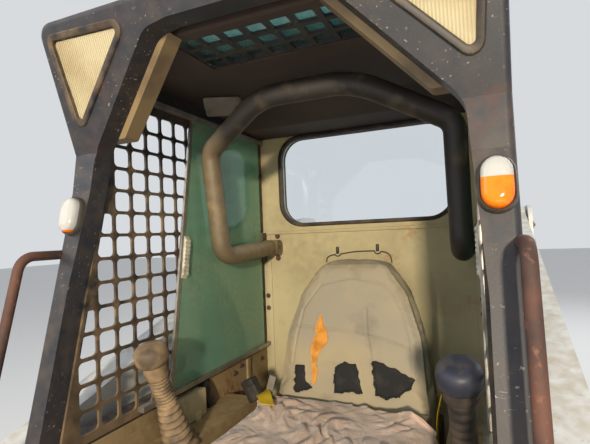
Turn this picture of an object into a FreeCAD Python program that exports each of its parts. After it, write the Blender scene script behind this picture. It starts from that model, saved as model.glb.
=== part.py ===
import FreeCAD, Part
import math
import os

# A compact skid steer loader with its bucket on the ground and its seat bar raised.
# Millimetres. +Z is up, the bucket points along -Y, and X is across the machine.
# The origin lies on the ground, under the middle of the machine's overall box.

V = FreeCAD.Vector

# Overall sizes and running gear
OVERALL_LENGTH = 3250.0
GROUND_CLEARANCE = 215.0
WHEELBASE = 1030.0
FRONT_AXLE_Y = -375.0
TYRE_RADIUS = 386.5
TYRE_WIDTH = 264.0
TYRE_SHOULDER = 34.0
TYRE_FACETS = 20
LUG_HEIGHT = 22.0
LUG_WIDTH = 40.0
LUG_LEAN = 34.0
LUG_INNER_X = -8.0
LUG_OUTER_X = 122.0
LUG_BEVEL = 34.0
WHEEL_CENTRE_X = 660.0
RIM_RADIUS = 208.0
RIM_THICKNESS = 9.0
RIM_DISC_THICKNESS = 14.0
RIM_DISC_INSET = 62.0
HUB_RADIUS = 44.0
HUB_LENGTH = 60.0
SHAFT_RADIUS = 30.0
AXLE_TUBE_RADIUS = 58.0
RUNNING_CLEARANCE = 0.3
WHEEL_SIDE_GAP = 12.0
WHEEL_BOLTS = 8
WHEEL_BOLT_CIRCLE = 68.0
WHEEL_BOLT_RADIUS = 9.0
WHEEL_BOLT_HEIGHT = 14.0

# Chassis
CASE_INNER_X = 410.0
CASE_OUTER_X = 500.0
CASE_TOP_Z = 605.0
CHASSIS_FRONT_Y = -700.0
CHASSIS_REAR_Y = OVERALL_LENGTH / 2 - 100.0
BELLY_PLATE = 15.0
FRONT_PLATE = 12.0
BUMPER_HEIGHT = 170.0
BUMPER_THICKNESS = 40.0
BUMPER_LOW_Z = 245.0
BUMPER_BAR_WIDTH = 60.0
FOOT_WELL_Z = 470.0
FOOT_WELL_REAR_Y = -150.0
DECK_PLATE = 15.0
SILL_HEIGHT = 60.0
SILL_SLOPE = 40.0
SILL_NOSE = 20.0
# Side outline of a foot pedal: (y from the chassis front, z above the foot well)
PEDAL_OUTLINE = [(90.0, 0.0), (120.0, 0.0), (305.0, 70.0), (295.0, 88.0), (90.0, 15.0)]
PEDAL_INNER_X = 150.0
PEDAL_OUTER_X = 260.0

# Cab shell. Rows marked "from kink" are measured from the plane of the front frame's kink.
CAB_HALF_WIDTH = 480.0
CAB_WALL = 50.0
CAB_KINK_Y = -325.0
CAB_REAR_FROM_KINK = 910.0
REAR_WALL = 30.0
ROOF_LOW_Z = 1905.0
CAB_HEIGHT = ROOF_LOW_Z - CASE_TOP_Z
CAB_TOP_Z = ROOF_LOW_Z + 50.0
ROOF_CROWN = 10.0
FRAME_DEPTH = 50.0
FRAME_TOP_ROUND = 34.0
FRAME_EDGE_ROUND = 13.0
# Front line of the cab's front frame, seen from the side: (y from kink, z)
FRONT_LINE = [
    (-254.0, CASE_TOP_Z),
    (-145.0, CASE_TOP_Z + 0.33 * CAB_HEIGHT),
    (-38.0, CASE_TOP_Z + 0.66 * CAB_HEIGHT),
    (-12.0, CASE_TOP_Z + 0.742 * CAB_HEIGHT),
    (0.0, CASE_TOP_Z + 0.81 * CAB_HEIGHT),
    (-96.0, ROOF_LOW_Z + 41.0),
]
KINK_Z = FRONT_LINE[4][1]
POST_INNER_LOW_X = 430.0
POST_INNER_KINK_X = 409.0
POST_INNER_BEND_Z = FRONT_LINE[2][1] - 120.0
DOOR_SILL_Z = 690.0
CHAMFER_TOP_X = 190.0
CHAMFER_TOP_Z = ROOF_LOW_Z - 26.0
BEAM_LOW_Z = ROOF_LOW_Z - 18.0
CHAMFER_ROUND = 60.0

# Lamps in the upper corners of the front frame: (x, z) of the lens corners
LAMP_CORNERS = [(443.0, ROOF_LOW_Z - 3.0), (430.0, ROOF_LOW_Z - 182.0), (247.0, ROOF_LOW_Z - 9.0)]
LAMP_RECESS = 5.0
LAMP_DEPTH = 30.0
LAMP_ROUND = 10.0
LAMP_CLEARANCE = 0.5
# Oval marker lamps on the posts
MARKER_X = 449.0
MARKER_Z = ROOF_LOW_Z - 396.0
MARKER_RIM_WIDTH = 56.0
MARKER_RIM_HEIGHT = 92.0
MARKER_LENS_WIDTH = 47.0
MARKER_LENS_HEIGHT = 82.0
MARKER_RIM_DEPTH = 14.0
MARKER_LENS_DEPTH = 30.0

# Side openings of the cab
SIDE_OPENING_LOW_Z = 1008.0
SIDE_OPENING_TOP_Z = ROOF_LOW_Z - 79.0
SIDE_OPENING_FRONT_MARGIN = 18.0
SIDE_OPENING_REAR_FROM_KINK = 862.0
SIDE_OPENING_ROUND = 24.0
# Punched side screens
SCREEN_THICKNESS = 6.0
SCREEN_OVERLAP = 16.0
SCREEN_PITCH_Y = 61.0
SCREEN_PITCH_Z = 57.0
SCREEN_BAR = 8.0
SCREEN_HOLE_ROUND = 12.0
SCREEN_FRONT_EDGE = 9.0
SCREEN_LEAST_HOLE = 24.0
# Sliding side windows inside the screens
GLASS_THICKNESS = 5.0
GLASS_GAP = 4.0
SIDE_GLASS_FRONT_LOW_FROM_KINK = 250.0
SIDE_GLASS_FRONT_TOP_FROM_KINK = 390.0
SIDE_GLASS_REAR_FROM_KINK = 836.0
SIDE_RAIL_HEIGHT = 14.0
SIDE_RAIL_WIDTH = 20.0
SIDE_RAIL_FRONT_FROM_KINK = 130.0

# Rear window
REAR_WINDOW_HALF_WIDTH = 330.0
REAR_WINDOW_LOW_Z = ROOF_LOW_Z - 412.0
REAR_WINDOW_TOP_Z = ROOF_LOW_Z - 67.0
REAR_WINDOW_ROUND = 84.0

# Roof grid over the skylight, and the lining under the roof
GRID_PITCH = 57.0
GRID_BAR = 13.0
GRID_COLUMNS = 7
GRID_ROWS = 3
GRID_FRONT_FROM_KINK = 30.0
GRID_THICKNESS = 8.0
GRID_RECESS = 4.0
GRID_HOLE_ROUND = 5.0
SKYLIGHT_LEDGE = 14.0
LINING_LOW_Z = ROOF_LOW_Z - 20.0
LINING_REAR_LOW_Z = ROOF_LOW_Z - 54.0
LINING_REAR_DEPTH = 170.0
LINING_SLOPE_DEPTH = 140.0
LINING_FRONT_FROM_KINK = 0.0
# Moulded strips behind the frame's upper corners
POD_LOW_Z = KINK_Z + 36.0
POD_DEPTH = 45.0
POD_REVEAL = 20.0
POD_ROUND = 12.0

# Grab handles
HANDLE_RADIUS = 10.5
HANDLE_X = 478.0
HANDLE_TOP_Z = 1422.0
HANDLE_LOW_Z = 960.0
HANDLE_REACH = 92.0
HANDLE_BEND = 38.0

# Side bracket under the roof edge
ROOF_BRACKET_LENGTH = 24.0
ROOF_BRACKET_DEPTH = 48.0
ROOF_BRACKET_HEIGHT = 26.0
ROOF_BRACKET_WALL = 5.0
ROOF_BRACKET_Z = ROOF_LOW_Z - 33.0

# Seat and what surrounds it
SEAT_HALF_WIDTH = 262.0
SEAT_BASE_FRONT_FROM_KINK = 215.0
SEAT_BASE_TOP_Z = 790.0
CUSHION_TOP_Z = 905.0
CUSHION_FRONT_FROM_KINK = 185.0
CUSHION_ROUND = 45.0
BACK_TOP_Z = 1352.0
BACK_FRONT_LOW_FROM_KINK = 600.0
BACK_FRONT_TOP_FROM_KINK = 720.0
BACK_THICKNESS = 110.0
# Right half of the backrest's front outline: (share of half width, z, corner round)
BACK_OUTLINE = [(1.0, 900.0, 200.0), (0.93, 1108.0, 200.0), (0.75, 1250.0, 150.0), (0.45, BACK_TOP_Z, 50.0)]
BACK_BRACKET_Z = 1180.0
BACK_BRACKET_HALF_WIDTH = 120.0
BACK_BRACKET_DEPTH = 60.0
SOFT_GAP = 0.3
BLANKET_THICKNESS = 22.0
BLANKET_HALF_WIDTH = 285.0
BLANKET_FRONT_FROM_KINK = 210.0
BLANKET_REAR_FROM_KINK = 560.0
BELT_FROM_KINK = 520.0
BELT_WIDTH = 48.0
BELT_THICKNESS = 4.0
CONSOLE_INNER_X = 312.0
CONSOLE_FRONT_FROM_KINK = -20.0
CONSOLE_REAR_FROM_KINK = 560.0
CONSOLE_TOP_Z = 905.0

# Seat bar: a bent tube. Rows: (x, y from kink, z) of its bends on +X.
BAR_RADIUS = 30.0
BAR_X = 371.0
BAR_PIVOT_FROM_KINK = 850.0
BAR_PIVOT_Z = ROOF_LOW_Z - 505.0
BAR_ROUTE = [
    (BAR_X, 475.0, BAR_PIVOT_Z - 16.0),
    (BAR_X, 423.0, ROOF_LOW_Z - 183.0),
    (136.0, 325.0, ROOF_LOW_Z - 69.0),
]
BAR_BENDS = [60.0, 50.0, 230.0]
BAR_LUG_RADIUS = 30.0
BAR_LUG_MARGIN = 3.0
BAR_BRACKET_GAP = 8.0
BAR_PIN_RADIUS = 10.0
BAR_BRACKET_HALF_HEIGHT = 60.0
BAR_BRACKET_GLASS_GAP = 3.0

# Steering levers: x, y from kink and z of each head, as (x, y, z)
LEVER_HEADS = {"left": (-350.0, 100.0, 1164.0), "right": (372.0, 85.0, 1180.0)}
LEVER_PIVOT_Z = 870.0
LEVER_PIVOT_FROM_KINK = 212.0
LEVER_RADIUS = 11.0
LEVER_GRIP_RADIUS = 21.0
LEVER_GRIP_LENGTH = 120.0
LEVER_HEAD_RADIUS = 41.0
LEVER_HEAD_HEIGHT = 44.0
LEVER_HEAD_ROUND = 15.0
LEVER_SLOT = 24.0
LEVER_SLOT_TRAVEL = 48.0
LEVER_PIN_RADIUS = 7.0

# Uprights that carry the lift arms, and the lift arms
LIFT_PIVOT_Y = CHASSIS_REAR_Y - 300.0
LIFT_PIVOT_Z = 1450.0
ARM_INNER_X = 510.0
ARM_OUTER_X = 600.0
ARM_HALF_DEPTH = 75.0
ARM_SLOPE = 17.5
ARM_ELBOW_Y = -830.0
ARM_LEG_HALF_DEPTH = 55.0
ARM_EYE_RADIUS = 88.0
ARM_TOE_RADIUS = 58.0
UPRIGHT_PLATE = 16.0
UPRIGHT_GAP = 9.0
UPRIGHT_FRONT_Y = LIFT_PIVOT_Y - 140.0
UPRIGHT_REAR_Y = LIFT_PIVOT_Y + 175.0
UPRIGHT_LOW_Z = 560.0
UPRIGHT_TOP_Z = LIFT_PIVOT_Z + 90.0
UPRIGHT_FOOT_HEIGHT = 120.0
UPRIGHT_REAR_TAPER = 40.0
UPRIGHT_FRONT_TAPER = 30.0
UPRIGHT_TOP_ROUND = 60.0
UPRIGHT_WEB_LEAN = 32.0
UPRIGHT_WEB_DROP = 200.0
LIFT_PIN_RADIUS = 30.0
LIFT_PIN_HEAD = 6.0
CROSS_TUBE_RADIUS = 42.0
CROSS_TUBE_Y = -785.0
CROSS_TUBE_Z = 575.0

# Bucket linkage
BUCKET_PIN_Y = -935.0
BUCKET_PIN_Z = 225.0
BUCKET_PIN_RADIUS = 24.0
EAR_PLATE = 18.0
EAR_GAP = 8.0
HITCH_PLATE = 15.0
HITCH_FACE_Y = -1100.0
HITCH_TOP_Z = 385.0
HITCH_WING_TOP_Z = 320.0
HITCH_LOW_Z = 130.0
TILT_LUG_HALF_GAP = 36.0
TILT_CRANK = 120.0
TILT_CRANK_ANGLE = 120.7
TILT_BASE_Y = -800.0
TILT_BASE_Z = 845.0
TILT_X = 455.0
TILT_BARREL_RADIUS = 30.0
TILT_ROD_RADIUS = 17.0
TILT_REST_TRAVEL = 52.8
LIFT_BARREL_RADIUS = 36.0
LIFT_ROD_RADIUS = 22.0
LIFT_REST_TRAVEL = 18.3
LIFT_BASE_Y = LIFT_PIVOT_Y + 30.0
LIFT_BASE_Z = 640.0
LIFT_LUG_Y = 495.0
LIFT_LUG_Z = 1100.0
CYLINDER_EYE_RADIUS = 40.0
CYLINDER_EYE_WIDTH = 60.0
CYLINDER_PIN_RADIUS = 18.0
CYLINDER_END_WALL = 25.0
CYLINDER_BARREL_SHARE = 0.85
ROD_HOME_GAP = 10.0
ROD_EYE_RADIUS = 30.0
ROD_EYE_WIDTH = 48.0

# Bucket. Outer line of a side plate: (y, z), from the cutting edge round to the top lip.
BUCKET_HALF_WIDTH = 838.0
BUCKET_PLATE = 10.0
BUCKET_BACK_TOP_Z = 330.0
BUCKET_LIP_Y = -1150.0
BUCKET_LIP_Z = 520.0
BUCKET_HEEL_ROUND = 115.0
BUCKET_SIDE_FRONT_Y = -OVERALL_LENGTH / 2 + 105.0
BUCKET_SIDE_FRONT_Z = 95.0
EDGE_DEPTH = 150.0
EDGE_THICKNESS = 20.0

# Engine bay
BAY_FRONT_Y = 610.0
BAY_HALF_WIDTH = 468.0
BAY_PANEL = 14.0
BAY_TOP_Z = 1330.0
BAY_TOP_REAR_Z = 1235.0
BAY_RAIL_DEPTH = 85.0
COVER_THICKNESS = 30.0
COVER_HINGE_INSET = 2.0
COVER_GAP = 8.0
COVER_LOUVRES = 9
DOOR_THICKNESS = 45.0
DOOR_GAP = 6.0
DOOR_PIN_RADIUS = 6.0
DOOR_PIN_LENGTH = 110.0
DOOR_KNUCKLE_RADIUS = 11.0
DOOR_KNUCKLE_LENGTH = 50.0
DOOR_HINGE_OFFSET = 12.0
DOOR_HINGE_SHARES = (0.33, 0.8)
DOOR_LOUVRES = 10
DOOR_LEAF_REACH = 60.0
LOUVRE_HEIGHT = 14.0
ENGINE_HALF_WIDTH = 250.0
ENGINE_FRONT_Y = BAY_FRONT_Y + 150.0
ENGINE_REAR_Y = CHASSIS_REAR_Y - 225.0
ENGINE_HEIGHT = 620.0
EXHAUST_RADIUS = 26.0
EXHAUST_WALL = 4.0
EXHAUST_HEIGHT = 170.0
EXHAUST_X = 300.0
TAIL_LAMP_WIDTH = 60.0
TAIL_LAMP_HEIGHT = 110.0
TAIL_LAMP_DEPTH = 26.0
TAIL_LAMP_DROP = 420.0
TAIL_LAMP_ROUND = 12.0

# Values worked out from the sizes above
BUCKET_BACK_Y = HITCH_FACE_Y
FRONT_EDGE_Y = -OVERALL_LENGTH / 2
REAR_EDGE_Y = OVERALL_LENGTH / 2
REAR_AXLE_Y = FRONT_AXLE_Y + WHEELBASE
CAB_REAR_Y = CAB_KINK_Y + CAB_REAR_FROM_KINK
REAR_WALL_Y = CAB_REAR_Y - REAR_WALL
INNER_X = CAB_HALF_WIDTH - CAB_WALL
CAB_FLOOR_TOP_Z = CASE_TOP_Z + DECK_PLATE
ARM_MID_X = (ARM_INNER_X + ARM_OUTER_X) / 2
SIDES = (-1, 1)


def on_side(a, b):
    """Place an outline drawn as (y, z)."""
    return V(0, a, b)


def on_front(a, b):
    """Place an outline drawn as (x, z)."""
    return V(a, 0, b)


def on_top(a, b):
    """Place an outline drawn as (x, y)."""
    return V(a, b, 0)


def corner(before, here, after, radius):
    """The points where a rounded corner starts, bulges and ends."""
    back = (before - here).normalize()
    ahead = (after - here).normalize()
    half = back.getAngle(ahead) / 2
    reach = radius / math.tan(half)
    bisector = (back + ahead).normalize()
    middle = here + bisector * (radius / math.sin(half) - radius)
    return here + back * reach, middle, here + ahead * reach


def rounded_wire(rows, place):
    """A closed outline from rows of (a, b, corner radius)."""
    points = [place(a, b) for a, b, radius in rows]
    count = len(points)
    stops = []
    for i, (a, b, radius) in enumerate(rows):
        if radius > 0:
            stops.append(corner(points[i - 1], points[i], points[(i + 1) % count], radius))
        else:
            stops.append((points[i], None, points[i]))
    edges = []
    for i in range(count):
        start, middle, end = stops[i]
        if middle is not None:
            edges.append(Part.Arc(start, middle, end).toShape())
        following = stops[(i + 1) % count][0]
        if end.distanceToPoint(following) > 0.001:
            edges.append(Part.LineSegment(end, following).toShape())
    return Part.Wire(edges)


def with_radius(points, radius):
    return [(a, b, radius) for a, b in points]


def across(rows, x_low, x_high):
    """Extrude a side outline, rows of (y, z, radius), from x_low to x_high."""
    face = Part.Face(rounded_wire(rows, on_side))
    face.translate(V(x_low, 0, 0))
    return face.extrude(V(x_high - x_low, 0, 0))


def along(rows, y_low, y_high):
    """Extrude a front outline, rows of (x, z, radius), from y_low to y_high."""
    face = Part.Face(rounded_wire(rows, on_front))
    face.translate(V(0, y_low, 0))
    return face.extrude(V(0, y_high - y_low, 0))


def upward(rows, z_low, z_high):
    """Extrude a plan outline, rows of (x, y, radius), from z_low to z_high."""
    face = Part.Face(rounded_wire(rows, on_top))
    face.translate(V(0, 0, z_low))
    return face.extrude(V(0, 0, z_high - z_low))


def box(x_low, x_high, y_low, y_high, z_low, z_high):
    size = (x_high - x_low, y_high - y_low, z_high - z_low)
    return Part.makeBox(*size, V(x_low, y_low, z_low))


def cylinder_x(x_low, x_high, y, z, radius):
    return Part.makeCylinder(radius, x_high - x_low, V(x_low, y, z), V(1, 0, 0))


def rod_between(start, end, radius):
    return Part.makeCylinder(radius, start.distanceToPoint(end), start, end - start)


def mirrored(shape):
    return shape.mirror(V(0, 0, 0), V(1, 0, 0))


def both_sides(shape):
    """The piece on +X and its twin on -X."""
    return [shape, mirrored(shape)]


def joined(shapes):
    whole = shapes[0].fuse(shapes[1:]) if len(shapes) > 1 else shapes[0]
    return whole.removeSplitter()


def together(shapes):
    """Several solids that don't touch, kept in one piece of the parts list."""
    return Part.makeCompound(shapes)


def tube_along(points, bends, radius):
    """A round bar along straight runs, with a turned elbow at each bend."""
    pieces = []
    start = points[0]
    for i, bend in enumerate(bends):
        before, here, after = points[i], points[i + 1], points[i + 2]
        entry, middle, leave = corner(before, here, after, bend)
        ahead = (here - before).normalize()
        turned = (after - here).normalize()
        hinge = ahead.cross(turned).normalize()
        centre = entry + hinge.cross(ahead) * bend
        disc = Part.Face(Part.Wire(Part.makeCircle(radius, entry, ahead)))
        pieces.append(rod_between(start, entry, radius))
        pieces.append(disc.revolve(centre, hinge, math.degrees(ahead.getAngle(turned))))
        start = leave
    pieces.append(rod_between(start, points[-1], radius))
    return joined(pieces)


def front_y(z):
    """Y of the front frame's face at a height."""
    rows = FRONT_LINE
    for (y_low, z_low), (y_high, z_high) in zip(rows, rows[1:]):
        if z <= z_high or (y_high, z_high) == rows[-1]:
            return CAB_KINK_Y + y_low + (y_high - y_low) * (z - z_low) / (z_high - z_low)


def front_band(inset, depth):
    """The bent front plane as a slab, from inset behind its face to depth behind it."""
    face = [(CAB_KINK_Y + y + inset, z, 0) for y, z in FRONT_LINE]
    back = [(CAB_KINK_Y + y + depth, z, 0) for y, z in reversed(FRONT_LINE)]
    return across(face + back, -CAB_HALF_WIDTH, CAB_HALF_WIDTH)


def arm_centre_z(y):
    """Height of a lift arm's centre line at a place along the machine."""
    return LIFT_PIVOT_Z - (LIFT_PIVOT_Y - y) * math.tan(math.radians(ARM_SLOPE))


def main_frame():
    low = GROUND_CLEARANCE
    pieces = [box(-CASE_INNER_X, CASE_INNER_X, CHASSIS_FRONT_Y, CHASSIS_REAR_Y, low, low + BELLY_PLATE)]
    pieces.append(box(-CASE_INNER_X, CASE_INNER_X, CHASSIS_FRONT_Y, CHASSIS_FRONT_Y + FRONT_PLATE,
                      low, CASE_TOP_Z))
    for side in both_sides(box(CASE_INNER_X, CASE_OUTER_X, CHASSIS_FRONT_Y, CHASSIS_REAR_Y,
                               low, CASE_TOP_Z)):
        pieces.append(side)
    arm = box(CASE_OUTER_X - BUMPER_BAR_WIDTH, CASE_OUTER_X, CHASSIS_REAR_Y,
              REAR_EDGE_Y - BUMPER_THICKNESS, BUMPER_LOW_Z, BUMPER_LOW_Z + BUMPER_HEIGHT)
    pieces += both_sides(arm)
    bumper = with_radius([(-CASE_OUTER_X, REAR_EDGE_Y - BUMPER_THICKNESS),
                          (CASE_OUTER_X, REAR_EDGE_Y - BUMPER_THICKNESS),
                          (CASE_OUTER_X, REAR_EDGE_Y), (-CASE_OUTER_X, REAR_EDGE_Y)], 0)
    pieces.append(upward(bumper, BUMPER_LOW_Z, BUMPER_LOW_Z + BUMPER_HEIGHT))
    return joined(pieces)


def axle_tubes():
    """Four fixed housings, from the chassis sides out to the wheels' hubs."""
    tubes = []
    outer_end = WHEEL_CENTRE_X - TYRE_WIDTH / 2 + RIM_DISC_INSET - HUB_LENGTH / 2
    for y in (FRONT_AXLE_Y, REAR_AXLE_Y):
        tube = cylinder_x(CASE_OUTER_X, outer_end, y, TYRE_RADIUS, AXLE_TUBE_RADIUS)
        bore = cylinder_x(CASE_OUTER_X, outer_end, y, TYRE_RADIUS, SHAFT_RADIUS + RUNNING_CLEARANCE)
        tubes += both_sides(tube.cut(bore))
    return together(tubes)


def revolved_about_axle(rows):
    """Turn a section, rows of (x, distance from the axle), about the wheel's axis."""
    points = [V(x, 0, r) for x, r in rows]
    face = Part.Face(Part.makePolygon(points + points[:1]))
    return face.revolve(V(0, 0, 0), V(1, 0, 0), 360)


def tyre_casing():
    """A ring of flat facets about the X axis, bored so that its flats clear the rim."""
    half = TYRE_WIDTH / 2
    tread = TYRE_RADIUS - LUG_HEIGHT
    bore = (RIM_RADIUS + RUNNING_CLEARANCE) / math.cos(math.pi / TYRE_FACETS)
    section = [(-half + TYRE_SHOULDER, bore), (half - TYRE_SHOULDER, bore), (half, (bore + tread) / 2),
               (half - TYRE_SHOULDER, tread), (-half + TYRE_SHOULDER, tread), (-half, (bore + tread) / 2)]
    rings = []
    for i in range(TYRE_FACETS + 1):
        turn = 2 * math.pi * (i % TYRE_FACETS) / TYRE_FACETS
        rings.append([V(x, r * math.cos(turn), r * math.sin(turn)) for x, r in section])
    faces = []
    for ring, following in zip(rings, rings[1:]):
        for j in range(len(section)):
            points = [ring[j - 1], ring[j], following[j], following[j - 1]]
            faces.append(Part.Face(Part.makePolygon(points + points[:1])))
    casing = Part.Solid(Part.Shell(faces))
    return casing if casing.Volume > 0 else casing.reversed()


def lug_blocks(side):
    """The slanted lugs on one half of the tread, bevelled at their outer ends."""
    reach = (LUG_LEAN + LUG_WIDTH) / 2
    top = math.sqrt(TYRE_RADIUS ** 2 - reach ** 2)
    low = TYRE_RADIUS - LUG_HEIGHT - TYRE_SHOULDER
    rows = [(side * LUG_INNER_X, -reach), (side * LUG_OUTER_X, reach - LUG_WIDTH),
            (side * LUG_OUTER_X, reach), (side * LUG_INNER_X, LUG_WIDTH - reach)]
    block = upward(with_radius(rows, 0), low, top)
    bevel = with_radius([(side * (LUG_OUTER_X + 1), top + 1), (side * (LUG_OUTER_X - LUG_BEVEL), top + 1),
                         (side * (LUG_OUTER_X - LUG_BEVEL), top), (side * (LUG_OUTER_X + 1), low + LUG_HEIGHT)], 0)
    block = block.cut(along(bevel, -TYRE_RADIUS, TYRE_RADIUS))
    offset = 0 if side > 0 else 0.5
    blocks = []
    for i in range(TYRE_FACETS):
        turned = block.copy()
        turned.rotate(V(0, 0, 0), V(1, 0, 0), 360 * (i + offset) / TYRE_FACETS)
        blocks.append(turned)
    return blocks


def tyre():
    """One tyre about the origin, its outer side towards +X, standing on the edge of a lug."""
    whole = joined([tyre_casing()] + lug_blocks(1) + lug_blocks(-1))
    whole.rotate(V(0, 0, 0), V(-1, 0, 0), math.degrees(math.asin((LUG_LEAN + LUG_WIDTH) / 2 / TYRE_RADIUS)))
    return whole


def rim():
    """One rim with its hub and shaft, about the origin, its outer side towards +X."""
    half = TYRE_WIDTH / 2 - TYRE_SHOULDER
    seat = RIM_RADIUS
    section = [
        (-half, seat - RIM_THICKNESS), (-half, seat), (half, seat), (half, seat - RIM_THICKNESS),
    ]
    disc_x = -TYRE_WIDTH / 2 + RIM_DISC_INSET
    disc = cylinder_x(disc_x, disc_x + RIM_DISC_THICKNESS, 0, 0, seat - RIM_THICKNESS / 2)
    hub = cylinder_x(disc_x - HUB_LENGTH / 2 + WHEEL_SIDE_GAP / 2, disc_x + HUB_LENGTH, 0, 0, HUB_RADIUS)
    shaft_end = CASE_OUTER_X - WHEEL_CENTRE_X + RUNNING_CLEARANCE
    shaft = cylinder_x(shaft_end, disc_x, 0, 0, SHAFT_RADIUS)
    pieces = [revolved_about_axle(section), disc, hub, shaft]
    for i in range(WHEEL_BOLTS):
        turn = 2 * math.pi * i / WHEEL_BOLTS
        y = WHEEL_BOLT_CIRCLE * math.cos(turn)
        z = WHEEL_BOLT_CIRCLE * math.sin(turn)
        pieces.append(cylinder_x(disc_x, disc_x + RIM_DISC_THICKNESS + WHEEL_BOLT_HEIGHT, y, z,
                                 WHEEL_BOLT_RADIUS))
    return joined(pieces)


def at_wheel(shape, side, y):
    placed = shape.copy() if side > 0 else mirrored(shape)
    placed.translate(V(side * WHEEL_CENTRE_X, y, TYRE_RADIUS))
    return placed


def cab_front_frame():
    """Both posts, the leaning upper corners with their lamp holes, and the top beam."""
    top_z = FRONT_LINE[-1][1]
    low_z = FRONT_LINE[0][1]
    wide = CAB_HALF_WIDTH
    outline = [(-wide, low_z, 0), (wide, low_z, 0), (wide, top_z, FRAME_TOP_ROUND),
               (-wide, top_z, FRAME_TOP_ROUND)]
    y_low = CAB_KINK_Y + FRONT_LINE[0][0] - FRAME_DEPTH
    y_high = CAB_KINK_Y + 2 * FRAME_DEPTH
    doorway = [
        (POST_INNER_LOW_X, DOOR_SILL_Z, 20),
        (POST_INNER_LOW_X, POST_INNER_BEND_Z, 200),
        (POST_INNER_KINK_X, KINK_Z, 70),
        (CHAMFER_TOP_X, CHAMFER_TOP_Z, CHAMFER_ROUND),
        (CHAMFER_TOP_X - CHAMFER_ROUND, BEAM_LOW_Z, 40),
    ]
    opening = doorway + [(-x, z, r) for x, z, r in reversed(doorway)]
    frame = front_band(0, FRAME_DEPTH).common(along(outline, y_low, y_high))
    frame = frame.cut(along(opening, y_low, y_high))
    frame = frame.makeFillet(FRAME_EDGE_ROUND, [edge for edge in frame.Edges if is_outer_edge(edge)])
    lamp = along(with_radius(LAMP_CORNERS, LAMP_ROUND), y_low, y_high)
    for hole in both_sides(lamp):
        frame = frame.cut(hole)
    return frame


def is_outer_edge(edge):
    """True for the edges down both sides of the front frame's face, with the top corners."""
    ends = [vertex.Point for vertex in edge.Vertexes]
    on_face = all(abs(p.y - front_y(p.z)) < 0.1 for p in ends)
    outside = all(abs(p.x) > CAB_HALF_WIDTH - FRAME_TOP_ROUND - 0.1 for p in ends)
    return on_face and outside and ends[0].z != ends[-1].z


def headlamps():
    """Triangular lenses, set a little back in the front frame's corners."""
    slab = front_band(LAMP_RECESS, LAMP_RECESS + LAMP_DEPTH)
    middle_x = sum(x for x, z in LAMP_CORNERS) / 3
    middle_z = sum(z for x, z in LAMP_CORNERS) / 3
    shrink = 1 - 2 * LAMP_CLEARANCE / abs(LAMP_CORNERS[0][0] - middle_x)
    rows = [(middle_x + (x - middle_x) * shrink, middle_z + (z - middle_z) * shrink, LAMP_ROUND)
            for x, z in LAMP_CORNERS]
    y_low = front_y(FRONT_LINE[-1][1])
    lens = slab.common(along(rows, y_low, CAB_KINK_Y + FRAME_DEPTH))
    return together(both_sides(lens))


def oval(width, height, y_low, y_high):
    """A flat-sided oval standing on the posts, drawn about the marker lamp's middle."""
    radius = width / 2
    straight = height / 2
    rows = [(MARKER_X - radius, MARKER_Z - straight, radius - 1),
            (MARKER_X + radius, MARKER_Z - straight, radius - 1),
            (MARKER_X + radius, MARKER_Z + straight, radius - 1),
            (MARKER_X - radius, MARKER_Z + straight, radius - 1)]
    return along(rows, y_low, y_high)


def marker_lamps():
    face = front_y(MARKER_Z)
    rear = face + FRAME_DEPTH
    rim_front = face - MARKER_RIM_DEPTH
    rim = oval(MARKER_RIM_WIDTH, MARKER_RIM_HEIGHT, rim_front, rear)
    lens = oval(MARKER_LENS_WIDTH, MARKER_LENS_HEIGHT, face - MARKER_LENS_DEPTH, rear)
    lamp = joined([rim, lens]).cut(front_band(0, FRAME_DEPTH + 100))
    return together(both_sides(lamp))


def side_wall_rows():
    """Outline of a cab side wall, which butts against the back of the front frame."""
    front = [(CAB_KINK_Y + y + FRAME_DEPTH, z) for y, z in FRONT_LINE[:-1]]
    front.append((front_y(ROOF_LOW_Z) + FRAME_DEPTH, ROOF_LOW_Z))
    return with_radius(front + [(CAB_REAR_Y, ROOF_LOW_Z), (CAB_REAR_Y, CASE_TOP_Z)], 0)


def side_opening_rows(grow):
    """The side window's outline, grown all round by a margin."""
    margin = FRAME_DEPTH + SIDE_OPENING_FRONT_MARGIN - grow
    low = SIDE_OPENING_LOW_Z - grow
    top = SIDE_OPENING_TOP_Z + grow
    rear = CAB_KINK_Y + SIDE_OPENING_REAR_FROM_KINK + grow
    return [(front_y(low) + margin, low, SIDE_OPENING_ROUND),
            (CAB_KINK_Y + FRONT_LINE[3][0] + margin, FRONT_LINE[3][1], 0),
            (CAB_KINK_Y + FRONT_LINE[4][0] + margin, FRONT_LINE[4][1], 0),
            (front_y(top) + margin, top, SIDE_OPENING_ROUND),
            (rear, top, SIDE_OPENING_ROUND),
            (rear, low, SIDE_OPENING_ROUND)]


def cab_side():
    """The wall on +X, as thick as the real box-section side."""
    wall = across(side_wall_rows(), INNER_X, CAB_HALF_WIDTH)
    return wall.cut(across(side_opening_rows(0), INNER_X, CAB_HALF_WIDTH))


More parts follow.
